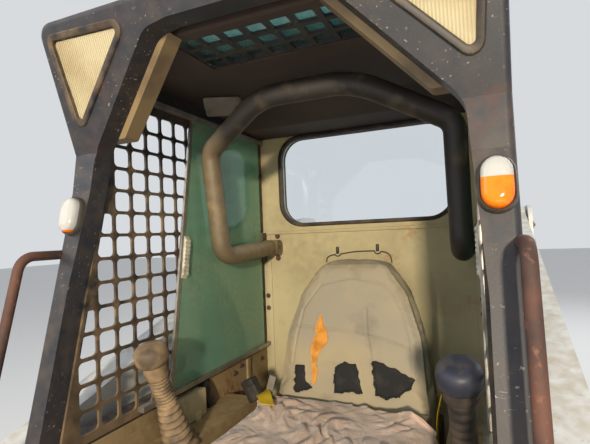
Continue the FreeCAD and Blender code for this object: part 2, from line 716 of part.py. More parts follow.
def side_screen():
    """The punched sheet inside the wall on +X, one face with a wire for each hole."""
    x = INNER_X - SCREEN_THICKNESS
    outer = rounded_wire(side_opening_rows(SCREEN_OVERLAP), on_side)
    sheet = Part.Face(outer)
    low = SIDE_OPENING_LOW_Z + SCREEN_BAR / 2
    rear = CAB_KINK_Y + SIDE_OPENING_REAR_FROM_KINK - SCREEN_BAR / 2
    half_y = (SCREEN_PITCH_Y - SCREEN_BAR) / 2
    half_z = (SCREEN_PITCH_Z - SCREEN_BAR) / 2
    wires = []
    rows = int((SIDE_OPENING_TOP_Z - low) / SCREEN_PITCH_Z) + 1
    for row in range(rows):
        z = low + SCREEN_PITCH_Z * row + half_z
        if z + half_z > SIDE_OPENING_TOP_Z + SCREEN_OVERLAP - SCREEN_BAR:
            continue
        edge_low = front_y(z - half_z) + FRAME_DEPTH + SCREEN_FRONT_EDGE
        edge_top = front_y(z + half_z) + FRAME_DEPTH + SCREEN_FRONT_EDGE
        y = rear - half_y
        while y + half_y - max(edge_low, edge_top) > SCREEN_LEAST_HOLE:
            corners = [(max(y - half_y, edge_low), z - half_z), (y + half_y, z - half_z),
                       (y + half_y, z + half_z), (max(y - half_y, edge_top), z + half_z)]
            round_off = min(SCREEN_HOLE_ROUND, (y + half_y - max(edge_low, edge_top)) / 3)
            wires.append(rounded_wire(with_radius(corners, round_off), on_side))
            y -= SCREEN_PITCH_Y
    sheet = Part.Face([outer] + wires)
    sheet.translate(V(x, 0, 0))
    return sheet.extrude(V(SCREEN_THICKNESS, 0, 0))


def side_glass():
    """Sliding panes behind the screens, with the slanted front edge of the real ones."""
    outer_x = INNER_X - SCREEN_THICKNESS - GLASS_GAP
    low = SIDE_OPENING_LOW_Z + SIDE_RAIL_HEIGHT / 2
    top = SIDE_OPENING_TOP_Z
    rows = with_radius([(CAB_KINK_Y + SIDE_GLASS_FRONT_LOW_FROM_KINK, low),
                        (CAB_KINK_Y + SIDE_GLASS_FRONT_TOP_FROM_KINK, top),
                        (CAB_KINK_Y + SIDE_GLASS_REAR_FROM_KINK, top),
                        (CAB_KINK_Y + SIDE_GLASS_REAR_FROM_KINK, low)], 0)
    return together(both_sides(across(rows, outer_x - GLASS_THICKNESS, outer_x)))


def glass_rails():
    """Runners above and below the panes, fixed to the screens."""
    outer_x = INNER_X - SCREEN_THICKNESS
    inner_x = outer_x - SIDE_RAIL_WIDTH
    front = CAB_KINK_Y + SIDE_RAIL_FRONT_FROM_KINK
    rear = CAB_KINK_Y + SIDE_OPENING_REAR_FROM_KINK
    low_top = SIDE_OPENING_LOW_Z + SIDE_RAIL_HEIGHT / 2
    rails = both_sides(box(inner_x, outer_x, front, rear, low_top - SIDE_RAIL_HEIGHT, low_top))
    rails += both_sides(box(inner_x, outer_x, front, rear, SIDE_OPENING_TOP_Z,
                            SIDE_OPENING_TOP_Z + SIDE_RAIL_HEIGHT))
    return together(rails)


def rear_window_rows(shrink):
    wide = REAR_WINDOW_HALF_WIDTH - shrink
    low = REAR_WINDOW_LOW_Z + shrink
    top = REAR_WINDOW_TOP_Z - shrink
    corners = [(-wide, low), (wide, low), (wide, top), (-wide, top)]
    return with_radius(corners, REAR_WINDOW_ROUND - shrink)


def cab_rear_wall():
    wall = box(-INNER_X, INNER_X, REAR_WALL_Y, CAB_REAR_Y, CASE_TOP_Z, ROOF_LOW_Z)
    return wall.cut(along(rear_window_rows(0), REAR_WALL_Y, CAB_REAR_Y))


def rear_glass():
    middle = (REAR_WALL_Y + CAB_REAR_Y) / 2
    return along(rear_window_rows(LAMP_CLEARANCE), middle - GLASS_THICKNESS / 2, middle + GLASS_THICKNESS / 2)


def skylight_rows(grow):
    wide = GRID_PITCH * GRID_COLUMNS / 2 + grow
    front = CAB_KINK_Y + GRID_FRONT_FROM_KINK - grow
    rear = CAB_KINK_Y + GRID_FRONT_FROM_KINK + GRID_PITCH * GRID_ROWS + grow
    return [(-wide, front, 0), (wide, front, 0), (wide, rear, 0), (-wide, rear, 0)]


def cab_roof():
    """The roof plate, with the opening for the skylight's pane."""
    top_z = FRONT_LINE[-1][1]
    back_y = CAB_REAR_Y
    rows = with_radius([(front_y(ROOF_LOW_Z) + FRAME_DEPTH, ROOF_LOW_Z), (front_y(top_z) + FRAME_DEPTH, top_z),
                        (front_y(top_z) + FRAME_DEPTH + ROOF_CROWN, CAB_TOP_Z),
                        (back_y - ROOF_CROWN, CAB_TOP_Z), (back_y, CAB_TOP_Z - ROOF_CROWN),
                        (back_y, ROOF_LOW_Z)], 0)
    roof = across(rows, -CAB_HALF_WIDTH, CAB_HALF_WIDTH)
    return roof.cut(upward(skylight_rows(SKYLIGHT_LEDGE), ROOF_LOW_Z, CAB_TOP_Z))


def roof_grid():
    """The bars under the skylight, one face with a wire for each hole."""
    wires = []
    half = (GRID_PITCH - GRID_BAR) / 2
    left = -GRID_PITCH * GRID_COLUMNS / 2
    front = CAB_KINK_Y + GRID_FRONT_FROM_KINK
    for row in range(GRID_ROWS):
        y = front + GRID_PITCH * (row + 0.5)
        for column in range(GRID_COLUMNS):
            x = left + GRID_PITCH * (column + 0.5)
            corners = [(x - half, y - half), (x - half, y + half), (x + half, y + half), (x + half, y - half)]
            wires.append(rounded_wire(with_radius(corners, GRID_HOLE_ROUND), on_top))
    sheet = Part.Face([rounded_wire(skylight_rows(0), on_top)] + wires)
    sheet.translate(V(0, 0, LINING_LOW_Z + GRID_RECESS))
    return sheet.extrude(V(0, 0, GRID_THICKNESS))


def roof_glass():
    """The skylight's pane, which lies on the lining inside the roof's opening."""
    return upward(skylight_rows(SKYLIGHT_LEDGE - LAMP_CLEARANCE), ROOF_LOW_Z, ROOF_LOW_Z + GLASS_THICKNESS)


def headliner():
    """The moulded lining under the roof, open below the skylight and deeper towards the rear."""
    front = CAB_KINK_Y + LINING_FRONT_FROM_KINK
    rear = REAR_WALL_Y
    deep = rear - LINING_REAR_DEPTH
    rows = [(front, LINING_LOW_Z, 8), (deep - LINING_SLOPE_DEPTH, LINING_LOW_Z, 60),
            (deep, LINING_REAR_LOW_Z, 60), (rear, LINING_REAR_LOW_Z, 0), (rear, ROOF_LOW_Z, 0),
            (front, ROOF_LOW_Z, 0)]
    panel = across(rows, -INNER_X, INNER_X)
    return panel.cut(upward(skylight_rows(0), LINING_LOW_Z, ROOF_LOW_Z))


def corner_trims():
    """Moulded strips behind the frame's upper corners, a little proud of its slanted edges."""
    slant = (POST_INNER_KINK_X - CHAMFER_TOP_X) / (CHAMFER_TOP_Z - KINK_Z)
    inner_low = POST_INNER_KINK_X - (POD_LOW_Z - KINK_Z) * slant - POD_REVEAL
    inner_top = POST_INNER_KINK_X - (LINING_LOW_Z - KINK_Z) * slant - POD_REVEAL
    y_low = front_y(FRONT_LINE[-1][1])
    y_high = CAB_KINK_Y + FRAME_DEPTH + POD_DEPTH
    rows = [(INNER_X, POD_LOW_Z, 0), (INNER_X, LINING_LOW_Z, 0), (inner_top, LINING_LOW_Z, 0),
            (inner_low, POD_LOW_Z, POD_ROUND)]
    pod = along(rows, y_low, y_high).common(front_band(FRAME_DEPTH, FRAME_DEPTH + POD_DEPTH))
    screen = box(INNER_X - SCREEN_THICKNESS, INNER_X, y_low, y_high,
                 POD_LOW_Z, SIDE_OPENING_TOP_Z + SCREEN_OVERLAP)
    return together(both_sides(pod.cut(screen)))


def grab_handles():
    lean = (FRONT_LINE[1][0] - FRONT_LINE[0][0]) / (FRONT_LINE[1][1] - FRONT_LINE[0][1])
    top_face = front_y(HANDLE_TOP_Z)
    low_face = front_y(HANDLE_LOW_Z)
    drop = HANDLE_TOP_Z - HANDLE_LOW_Z
    points = [V(HANDLE_X, top_face + FRAME_DEPTH / 2, HANDLE_TOP_Z),
              V(HANDLE_X, top_face - HANDLE_REACH, HANDLE_TOP_Z),
              V(HANDLE_X, top_face - HANDLE_REACH - lean * drop, HANDLE_LOW_Z),
              V(HANDLE_X, low_face + FRAME_DEPTH / 2, HANDLE_LOW_Z)]
    tube = tube_along(points, [HANDLE_BEND, HANDLE_BEND], HANDLE_RADIUS)
    return together(both_sides(tube.cut(front_band(0, FRAME_DEPTH))))


def roof_side_bracket():
    """A short open channel that stands out of the left wall, under the roof's edge."""
    y = front_y(ROOF_BRACKET_Z) + FRAME_DEPTH + ROOF_BRACKET_WALL
    outer = box(-CAB_HALF_WIDTH - ROOF_BRACKET_LENGTH, -CAB_HALF_WIDTH, y, y + ROOF_BRACKET_DEPTH,
                ROOF_BRACKET_Z, ROOF_BRACKET_Z + ROOF_BRACKET_HEIGHT)
    wall = ROOF_BRACKET_WALL
    hollow = box(-CAB_HALF_WIDTH - ROOF_BRACKET_LENGTH, -CAB_HALF_WIDTH, y + wall,
                 y + ROOF_BRACKET_DEPTH - wall, ROOF_BRACKET_Z, ROOF_BRACKET_Z + ROOF_BRACKET_HEIGHT - wall)
    return outer.cut(hollow)


def cab_floor():
    """Foot well in front, and the deck that carries the seat."""
    front = CHASSIS_FRONT_Y + FRONT_PLATE
    rear = REAR_WALL_Y
    step = FOOT_WELL_REAR_Y
    plate = DECK_PLATE
    rows = with_radius([(front, FOOT_WELL_Z), (step + plate, FOOT_WELL_Z), (step + plate, CASE_TOP_Z),
                        (rear, CASE_TOP_Z), (rear, CAB_FLOOR_TOP_Z), (step, CAB_FLOOR_TOP_Z),
                        (step, FOOT_WELL_Z + plate), (front, FOOT_WELL_Z + plate)], 0)
    return across(rows, -CASE_INNER_X, CASE_INNER_X)


def front_deck():
    """The sill plate across the front, between the posts' feet and the chassis front."""
    low = FRONT_LINE[0][1]
    top = low + SILL_HEIGHT
    rows = with_radius([(CHASSIS_FRONT_Y, low), (front_y(low), low), (front_y(top), top),
                        (CHASSIS_FRONT_Y + SILL_SLOPE, top), (CHASSIS_FRONT_Y, low + SILL_NOSE)], 0)
    return across(rows, -CASE_INNER_X, CASE_INNER_X)


def seat_base():
    front = CAB_KINK_Y + SEAT_BASE_FRONT_FROM_KINK
    return box(-SEAT_HALF_WIDTH, SEAT_HALF_WIDTH, front, REAR_WALL_Y, CAB_FLOOR_TOP_Z, SEAT_BASE_TOP_Z)


def seat_cushion():
    front = CAB_KINK_Y + CUSHION_FRONT_FROM_KINK
    rear = CAB_KINK_Y + BACK_FRONT_LOW_FROM_KINK - SOFT_GAP
    low = SEAT_BASE_TOP_Z + SOFT_GAP
    rows = [(front, low, 0), (rear, low, 0), (rear, CUSHION_TOP_Z, 0), (front, CUSHION_TOP_Z, CUSHION_ROUND)]
    return across(rows, -SEAT_HALF_WIDTH, SEAT_HALF_WIDTH)


def seat_back():
    """Backrest, widest at the cushion and narrower towards the top."""
    low = SEAT_BASE_TOP_Z + SOFT_GAP
    right = [(SEAT_HALF_WIDTH, low, 0)]
    right += [(SEAT_HALF_WIDTH * share, z, radius) for share, z, radius in BACK_OUTLINE]
    front = right + [(-x, z, radius) for x, z, radius in reversed(right)]
    bottom = CAB_KINK_Y + BACK_FRONT_LOW_FROM_KINK
    top = CAB_KINK_Y + BACK_FRONT_TOP_FROM_KINK
    side = with_radius([(bottom, low), (bottom, CUSHION_TOP_Z), (top, BACK_TOP_Z), (top + BACK_THICKNESS, BACK_TOP_Z),
                        (bottom + BACK_THICKNESS, low)], 0)
    slab = across(side, -SEAT_HALF_WIDTH, SEAT_HALF_WIDTH)
    return slab.common(along(front, bottom - 10, REAR_WALL_Y))


def seat_bracket():
    """The strut that ties the backrest to the rear wall."""
    z = BACK_BRACKET_Z
    front = CAB_KINK_Y + BACK_FRONT_LOW_FROM_KINK
    wide = BACK_BRACKET_HALF_WIDTH
    plate = box(-wide, wide, front, REAR_WALL_Y, z - BACK_BRACKET_DEPTH, z)
    bottom = front + BACK_THICKNESS + SOFT_GAP
    top = CAB_KINK_Y + BACK_FRONT_TOP_FROM_KINK + BACK_THICKNESS + SOFT_GAP
    low = SEAT_BASE_TOP_Z
    side = with_radius([(front - 1, low), (bottom, low), (top, BACK_TOP_Z), (front - 1, BACK_TOP_Z)], 0)
    return plate.cut(across(side, -SEAT_HALF_WIDTH, SEAT_HALF_WIDTH))


def seat_cover():
    """The loose cloth thrown over the cushion, as one plain slab."""
    front = CAB_KINK_Y + BLANKET_FRONT_FROM_KINK
    rear = CAB_KINK_Y + BLANKET_REAR_FROM_KINK
    low = CUSHION_TOP_Z + SOFT_GAP
    return box(-BLANKET_HALF_WIDTH, BLANKET_HALF_WIDTH, front, rear, low, low + BLANKET_THICKNESS)


def seat_belt():
    """Two belt halves that come up beside the cushion."""
    x = SEAT_HALF_WIDTH + SOFT_GAP + BELT_THICKNESS / 2
    y = CAB_KINK_Y + BELT_FROM_KINK
    strap = box(x - BELT_THICKNESS / 2, x + BELT_THICKNESS / 2, y, y + BELT_WIDTH, CAB_FLOOR_TOP_Z,
                CUSHION_TOP_Z)
    return together(both_sides(strap))


def console():
    """The box under the steering lever on +X."""
    front = CAB_KINK_Y + CONSOLE_FRONT_FROM_KINK
    rear = CAB_KINK_Y + CONSOLE_REAR_FROM_KINK
    return box(CONSOLE_INNER_X, INNER_X, front, rear, CAB_FLOOR_TOP_Z, CONSOLE_TOP_Z)


def lever_slot(side):
    x, y_from_kink, z = LEVER_HEADS[side]
    y = CAB_KINK_Y + LEVER_PIVOT_FROM_KINK
    return box(x - LEVER_SLOT, x + LEVER_SLOT, y - LEVER_SLOT_TRAVEL, y + LEVER_SLOT_TRAVEL,
               LEVER_PIVOT_Z - 3 * LEVER_RADIUS, CONSOLE_TOP_Z)


def lever_consoles():
    right = console().cut(lever_slot("right"))
    left = mirrored(console()).cut(lever_slot("left"))
    pins = []
    for side, body in (("left", left), ("right", right)):
        x = LEVER_HEADS[side][0]
        y = CAB_KINK_Y + LEVER_PIVOT_FROM_KINK
        pins.append(joined([body, cylinder_x(x - LEVER_SLOT, x + LEVER_SLOT, y, LEVER_PIVOT_Z, LEVER_PIN_RADIUS)]))
    return together(pins)


def steering_lever(side):
    x, y_from_kink, z = LEVER_HEADS[side]
    pivot = V(x, CAB_KINK_Y + LEVER_PIVOT_FROM_KINK, LEVER_PIVOT_Z)
    head = V(x, CAB_KINK_Y + y_from_kink, z)
    axis = (head - pivot).normalize()
    grip = rod_between(head - axis * LEVER_GRIP_LENGTH, head, LEVER_GRIP_RADIUS)
    shaft = rod_between(pivot, head, LEVER_RADIUS)
    knob = Part.makeCylinder(LEVER_HEAD_RADIUS, LEVER_HEAD_HEIGHT, head - axis * (LEVER_HEAD_HEIGHT / 2), axis)
    edges = [e for e in knob.Edges if hasattr(e.Curve, "Radius")]
    knob = knob.makeFillet(LEVER_HEAD_ROUND, edges)
    boss = cylinder_x(x - 1.5 * LEVER_RADIUS, x + 1.5 * LEVER_RADIUS, pivot.y, pivot.z, 2 * LEVER_RADIUS)
    bore = cylinder_x(x - LEVER_SLOT, x + LEVER_SLOT, pivot.y, pivot.z, LEVER_PIN_RADIUS + RUNNING_CLEARANCE)
    return joined([shaft, grip, knob, boss]).cut(bore)


def pedals():
    """Two foot pedals on the floor of the foot well."""
    floor = FOOT_WELL_Z + DECK_PLATE
    rows = [(CHASSIS_FRONT_Y + y, floor + z, 0) for y, z in PEDAL_OUTLINE]
    return together(both_sides(across(rows, PEDAL_INNER_X, PEDAL_OUTER_X)))


def seat_bar():
    """One bent tube from side to side, with its lugs at the rear posts."""
    right = [V(x, CAB_KINK_Y + y, z) for x, y, z in BAR_ROUTE]
    pivot = V(BAR_X, CAB_KINK_Y + BAR_PIVOT_FROM_KINK, BAR_PIVOT_Z)
    half_route = [pivot] + right
    other = [V(-p.x, p.y, p.z) for p in reversed(half_route)]
    bends = BAR_BENDS + BAR_BENDS[::-1]
    bar = tube_along(half_route + other, bends, BAR_RADIUS)
    half = BAR_RADIUS + BAR_LUG_MARGIN
    lug = cylinder_x(BAR_X - half, BAR_X + half, pivot.y, pivot.z, BAR_LUG_RADIUS)
    bore = cylinder_x(BAR_X - 2 * BAR_RADIUS, BAR_X + 2 * BAR_RADIUS, pivot.y, pivot.z,
                      BAR_PIN_RADIUS + RUNNING_CLEARANCE)
    whole = joined([bar] + both_sides(lug))
    for hole in both_sides(bore):
        whole = whole.cut(hole)
    return whole


def bar_brackets():
    """Plates on the rear posts with the pins that carry the seat bar."""
    y = CAB_KINK_Y + BAR_PIVOT_FROM_KINK
    inner = BAR_X + BAR_RADIUS + BAR_BRACKET_GAP
    front = CAB_KINK_Y + SIDE_GLASS_REAR_FROM_KINK + BAR_BRACKET_GLASS_GAP
    low = BAR_PIVOT_Z - BAR_BRACKET_HALF_HEIGHT
    top = BAR_PIVOT_Z + BAR_BRACKET_HALF_HEIGHT
    plate = box(inner, INNER_X - SCREEN_THICKNESS, front, REAR_WALL_Y, low, top)
    pin = cylinder_x(BAR_X - BAR_RADIUS - BAR_LUG_MARGIN, inner + 1, y, BAR_PIVOT_Z, BAR_PIN_RADIUS)
    return together(both_sides(joined([plate, pin])))


def upright():
    """The tower on +X: an inner and an outer plate, closed behind, with the lift arm's pin."""
    inner = ARM_INNER_X - UPRIGHT_GAP
    outer = ARM_OUTER_X + UPRIGHT_GAP
    rows = [(UPRIGHT_FRONT_Y, UPRIGHT_LOW_Z, 0), (UPRIGHT_REAR_Y, UPRIGHT_LOW_Z, 0),
            (UPRIGHT_REAR_Y - UPRIGHT_REAR_TAPER, UPRIGHT_TOP_Z, UPRIGHT_TOP_ROUND),
            (UPRIGHT_FRONT_Y + UPRIGHT_FRONT_TAPER, UPRIGHT_TOP_Z, UPRIGHT_TOP_ROUND)]
    plates = [across(rows, inner - UPRIGHT_PLATE, inner), across(rows, outer, outer + UPRIGHT_PLATE)]
    web_top_y = UPRIGHT_REAR_Y - UPRIGHT_WEB_LEAN
    web_top_z = UPRIGHT_TOP_Z - UPRIGHT_WEB_DROP
    web = with_radius([(UPRIGHT_REAR_Y - UPRIGHT_PLATE, UPRIGHT_LOW_Z), (UPRIGHT_REAR_Y, UPRIGHT_LOW_Z),
                       (web_top_y, web_top_z), (web_top_y - UPRIGHT_PLATE, web_top_z)], 0)
    plates.append(across(web, inner - UPRIGHT_PLATE, outer + UPRIGHT_PLATE))
    plates.append(box(inner, outer, UPRIGHT_FRONT_Y, UPRIGHT_REAR_Y, UPRIGHT_LOW_Z, UPRIGHT_LOW_Z + UPRIGHT_PLATE))
    plates.append(cylinder_x(inner - UPRIGHT_PLATE - LIFT_PIN_HEAD, outer + UPRIGHT_PLATE + LIFT_PIN_HEAD,
                             LIFT_PIVOT_Y, LIFT_PIVOT_Z, LIFT_PIN_RADIUS))
    plates.append(cylinder_x(inner - UPRIGHT_PLATE, outer + UPRIGHT_PLATE, LIFT_BASE_Y, LIFT_BASE_Z,
                             CYLINDER_PIN_RADIUS))
    plates.append(box(BAY_HALF_WIDTH, inner, UPRIGHT_FRONT_Y, UPRIGHT_REAR_Y, CASE_TOP_Z,
                      CASE_TOP_Z + UPRIGHT_FOOT_HEIGHT))
    case = box(CASE_INNER_X, CASE_OUTER_X, CHASSIS_FRONT_Y, CHASSIS_REAR_Y, GROUND_CLEARANCE, CASE_TOP_Z)
    return joined(plates).cut(case)


def uprights():
    return together(both_sides(upright()))


def lift_arm():
    """The arm on +X: a straight beam from the upright, an elbow and a leg to the bucket pin."""
    slope = math.tan(math.radians(ARM_SLOPE))
    lift = ARM_HALF_DEPTH / math.cos(math.radians(ARM_SLOPE))
    elbow_z = arm_centre_z(ARM_ELBOW_Y)
    rear = LIFT_PIVOT_Y
    leg = V(0, BUCKET_PIN_Y - ARM_ELBOW_Y, BUCKET_PIN_Z - elbow_z).normalize()
    aside = V(0, -leg.z, leg.y)
    toe_back = V(0, BUCKET_PIN_Y, BUCKET_PIN_Z) + aside * ARM_LEG_HALF_DEPTH
    toe_front = V(0, BUCKET_PIN_Y, BUCKET_PIN_Z) - aside * ARM_LEG_HALF_DEPTH
    front_top = V(0, ARM_ELBOW_Y, elbow_z) - aside * ARM_LEG_HALF_DEPTH
    gusset_y = CROSS_TUBE_Y + CROSS_TUBE_RADIUS
    rows = [
        (rear, arm_centre_z(rear) + lift, 0),
        (ARM_ELBOW_Y, elbow_z + lift, 60),
        (front_top.y - 8, elbow_z - 40, 90),
        (toe_front.y, toe_front.z, 0),
        (toe_back.y, toe_back.z, 0),
        (gusset_y - 25, CROSS_TUBE_Z - 110, 60),
        (gusset_y + 8, CROSS_TUBE_Z + 60, 60),
        (gusset_y + 45, arm_centre_z(gusset_y + 45) - lift, 60),
        (rear, arm_centre_z(rear) - lift, 0),
    ]
    pieces = [across(rows, ARM_INNER_X, ARM_OUTER_X)]
    pieces.append(cylinder_x(ARM_INNER_X, ARM_OUTER_X, LIFT_PIVOT_Y, LIFT_PIVOT_Z, ARM_EYE_RADIUS))
    pieces.append(cylinder_x(ARM_INNER_X, ARM_OUTER_X, BUCKET_PIN_Y, BUCKET_PIN_Z, ARM_TOE_RADIUS))
    lug = with_radius([(LIFT_LUG_Y - 90, arm_centre_z(LIFT_LUG_Y - 90)), (LIFT_LUG_Y - 40, LIFT_LUG_Z - 40),
                       (LIFT_LUG_Y + 40, LIFT_LUG_Z - 40), (LIFT_LUG_Y + 90, arm_centre_z(LIFT_LUG_Y + 90))], 0)
    for x in (ARM_INNER_X, ARM_OUTER_X - EAR_PLATE):
        pieces.append(across(lug, x, x + EAR_PLATE))
    pieces.append(cylinder_x(TILT_X - CYLINDER_EYE_WIDTH / 2, ARM_INNER_X + 10, TILT_BASE_Y, TILT_BASE_Z,
                             CYLINDER_PIN_RADIUS))
    arm = joined(pieces)
    arm = arm.cut(cylinder_x(ARM_INNER_X, ARM_OUTER_X, LIFT_PIVOT_Y, LIFT_PIVOT_Z,
                             LIFT_PIN_RADIUS + RUNNING_CLEARANCE))
    return arm.cut(cylinder_x(ARM_INNER_X, ARM_OUTER_X, BUCKET_PIN_Y, BUCKET_PIN_Z,
                              BUCKET_PIN_RADIUS + RUNNING_CLEARANCE))


def lift_arms():
    return together(both_sides(lift_arm()))


def arm_cross_tube():
    return cylinder_x(-ARM_INNER_X, ARM_INNER_X, CROSS_TUBE_Y, CROSS_TUBE_Z, CROSS_TUBE_RADIUS)


def tilt_rod_point():
    """Where the tilt rods' eyes meet the hitch at rest."""
    turn = math.radians(TILT_CRANK_ANGLE)
    return (BUCKET_PIN_Y + TILT_CRANK * math.cos(turn), BUCKET_PIN_Z + TILT_CRANK * math.sin(turn))


def quick_attach():
    """The hitch plate between arms and bucket, with ears for the arms' toes and tilt rods."""
    back = HITCH_FACE_Y + HITCH_PLATE
    ear_outer = ARM_OUTER_X + EAR_GAP + EAR_PLATE
    main_half = ARM_INNER_X - EAR_GAP
    pieces = [box(-ear_outer, ear_outer, HITCH_FACE_Y, back, HITCH_LOW_Z, HITCH_WING_TOP_Z)]
    pieces.append(box(-main_half, main_half, HITCH_FACE_Y, back, HITCH_LOW_Z, HITCH_TOP_Z))
    rod_y, rod_z = tilt_rod_point()
    for side in SIDES:
        for inner in (ARM_INNER_X - EAR_GAP - EAR_PLATE, ARM_OUTER_X + EAR_GAP):
            x_low, x_high = sorted((side * inner, side * (inner + EAR_PLATE)))
            rows = [(back, HITCH_LOW_Z, 0), (back, HITCH_WING_TOP_Z, 0), (BUCKET_PIN_Y + 45, BUCKET_PIN_Z + 45, 30),
                    (BUCKET_PIN_Y + 45, BUCKET_PIN_Z - 45, 30)]
            pieces.append(across(rows, x_low, x_high))
        for inner in (TILT_X - TILT_LUG_HALF_GAP - EAR_PLATE, ):
            x_low, x_high = sorted((side * inner, side * (inner + EAR_PLATE)))
            rows = with_radius([(back, rod_z - 90), (back, rod_z + 80), (rod_y + 34, rod_z + 25),
                                (rod_y + 34, rod_z - 25)], 0)
            pieces.append(across(rows, x_low, x_high))
        x_low, x_high = sorted((side * (ARM_INNER_X - EAR_GAP - EAR_PLATE), side * ear_outer))
        pieces.append(cylinder_x(x_low, x_high, BUCKET_PIN_Y, BUCKET_PIN_Z, BUCKET_PIN_RADIUS))
    return joined(pieces)


def bucket():
    """A welded shell: floor and back in one bent plate, closed by two side plates."""
    plate = BUCKET_PLATE
    edge_y = FRONT_EDGE_Y + EDGE_DEPTH
    outer = [(edge_y, 0, 0), (BUCKET_BACK_Y, 0, BUCKET_HEEL_ROUND),
             (BUCKET_BACK_Y, BUCKET_BACK_TOP_Z, 200), (BUCKET_LIP_Y, BUCKET_LIP_Z, 0)]
    inner = [(BUCKET_LIP_Y - plate, BUCKET_LIP_Z, 0), (BUCKET_BACK_Y - plate, BUCKET_BACK_TOP_Z, 200 - plate),
             (BUCKET_BACK_Y - plate, plate, BUCKET_HEEL_ROUND - plate), (edge_y, plate, 0)]
    shell = across(outer + inner, -BUCKET_HALF_WIDTH, BUCKET_HALF_WIDTH)
    sides = [(edge_y - EDGE_DEPTH / 2, plate, 0), (BUCKET_SIDE_FRONT_Y, BUCKET_SIDE_FRONT_Z, 30),
             (BUCKET_LIP_Y - 60, BUCKET_LIP_Z, 40), (BUCKET_LIP_Y, BUCKET_LIP_Z, 0),
             (BUCKET_BACK_Y, BUCKET_BACK_TOP_Z, 200),
             (BUCKET_BACK_Y, 0, BUCKET_HEEL_ROUND), (edge_y, 0, 0), (edge_y, plate, 0)]
    wall = across(sides, BUCKET_HALF_WIDTH - plate, BUCKET_HALF_WIDTH)
    return joined([shell] + both_sides(wall))


def cutting_edge():
    """The hardened bar along the bucket's lip."""
    back = FRONT_EDGE_Y + EDGE_DEPTH
    rows = with_radius([(FRONT_EDGE_Y, 0), (back, 0), (back, BUCKET_PLATE), (FRONT_EDGE_Y + EDGE_THICKNESS, BUCKET_PLATE)], 0)
    return across(rows, -BUCKET_HALF_WIDTH, BUCKET_HALF_WIDTH)


def barrel(x, base, tip, radius, rod_radius, rest_travel):
    """A cylinder's barrel with its eye, pointing from base to tip."""
    axis = (tip - base).normalize()
    reach = (base.distanceToPoint(tip) - rest_travel) * CYLINDER_BARREL_SHARE
    tube = rod_between(base, base + axis * reach, radius)
    hollow = rod_between(base + axis * (CYLINDER_EYE_RADIUS + CYLINDER_END_WALL), base + axis * (reach + 1),
                         rod_radius + RUNNING_CLEARANCE)
    half = CYLINDER_EYE_WIDTH / 2
    eye = cylinder_x(x - half, x + half, base.y, base.z, CYLINDER_EYE_RADIUS)
    deep = max(half, radius)
    pin = cylinder_x(x - deep, x + deep, base.y, base.z, CYLINDER_PIN_RADIUS + RUNNING_CLEARANCE)
    return joined([tube, eye]).cut(hollow).cut(pin)


def rod(x, base, tip, rod_radius, rest_travel):
    """A cylinder's rod with its eye at tip, drawn out of its barrel by the travel at rest."""
    axis = (tip - base).normalize()
    inner_end = base + axis * (CYLINDER_EYE_RADIUS + CYLINDER_END_WALL + ROD_HOME_GAP + rest_travel)
    shaft = rod_between(inner_end, tip, rod_radius)
    half = ROD_EYE_WIDTH / 2
    eye = cylinder_x(x - half, x + half, tip.y, tip.z, ROD_EYE_RADIUS)
    return joined([shaft, eye])


def lift_ends():
    return V(ARM_MID_X, LIFT_BASE_Y, LIFT_BASE_Z), V(ARM_MID_X, LIFT_LUG_Y, LIFT_LUG_Z)


def tilt_ends():
    rod_y, rod_z = tilt_rod_point()
    return V(TILT_X, TILT_BASE_Y, TILT_BASE_Z), V(TILT_X, rod_y, rod_z)


def lift_barrels():
    base, tip = lift_ends()
    return together(both_sides(barrel(ARM_MID_X, base, tip, LIFT_BARREL_RADIUS, LIFT_ROD_RADIUS,
                                      LIFT_REST_TRAVEL)))


def lift_rods():
    base, tip = lift_ends()
    return together(both_sides(rod(ARM_MID_X, base, tip, LIFT_ROD_RADIUS, LIFT_REST_TRAVEL)))


def tilt_barrels():
    base, tip = tilt_ends()
    return together(both_sides(barrel(TILT_X, base, tip, TILT_BARREL_RADIUS, TILT_ROD_RADIUS,
                                      TILT_REST_TRAVEL)))


def tilt_rods():
    base, tip = tilt_ends()
    return together(both_sides(rod(TILT_X, base, tip, TILT_ROD_RADIUS, TILT_REST_TRAVEL)))


def bay_top_z(y):
    """Height of the engine bay's sloping top."""
    share = (y - BAY_FRONT_Y) / (CHASSIS_REAR_Y - BAY_FRONT_Y)
    return BAY_TOP_Z + (BAY_TOP_REAR_Z - BAY_TOP_Z) * share


def body_panels():
    """The engine bay's two sides, tied together by a bulkhead behind the cab."""
    rows = with_radius([(BAY_FRONT_Y, CASE_TOP_Z), (CHASSIS_REAR_Y, CASE_TOP_Z),
                        (CHASSIS_REAR_Y, BAY_TOP_REAR_Z), (BAY_FRONT_Y, BAY_TOP_Z)], 0)
    sides = both_sides(across(rows, BAY_HALF_WIDTH - BAY_PANEL, BAY_HALF_WIDTH))
    bulkhead = box(-BAY_HALF_WIDTH, BAY_HALF_WIDTH, BAY_FRONT_Y, BAY_FRONT_Y + BAY_PANEL,
                   CASE_TOP_Z, BAY_TOP_Z - BAY_PANEL)
    rail_y = CHASSIS_REAR_Y - BAY_RAIL_DEPTH
    rail = with_radius([(rail_y, bay_top_z(rail_y) - BAY_PANEL), (CHASSIS_REAR_Y, BAY_TOP_REAR_Z - BAY_PANEL),
                        (CHASSIS_REAR_Y, BAY_TOP_REAR_Z), (rail_y, bay_top_z(rail_y))], 0)
    return joined(sides + [bulkhead, across(rail, -BAY_HALF_WIDTH, BAY_HALF_WIDTH)])


def engine_block():
    low = GROUND_CLEARANCE + BELLY_PLATE
    return box(-ENGINE_HALF_WIDTH, ENGINE_HALF_WIDTH, ENGINE_FRONT_Y, ENGINE_REAR_Y, low, low + ENGINE_HEIGHT)


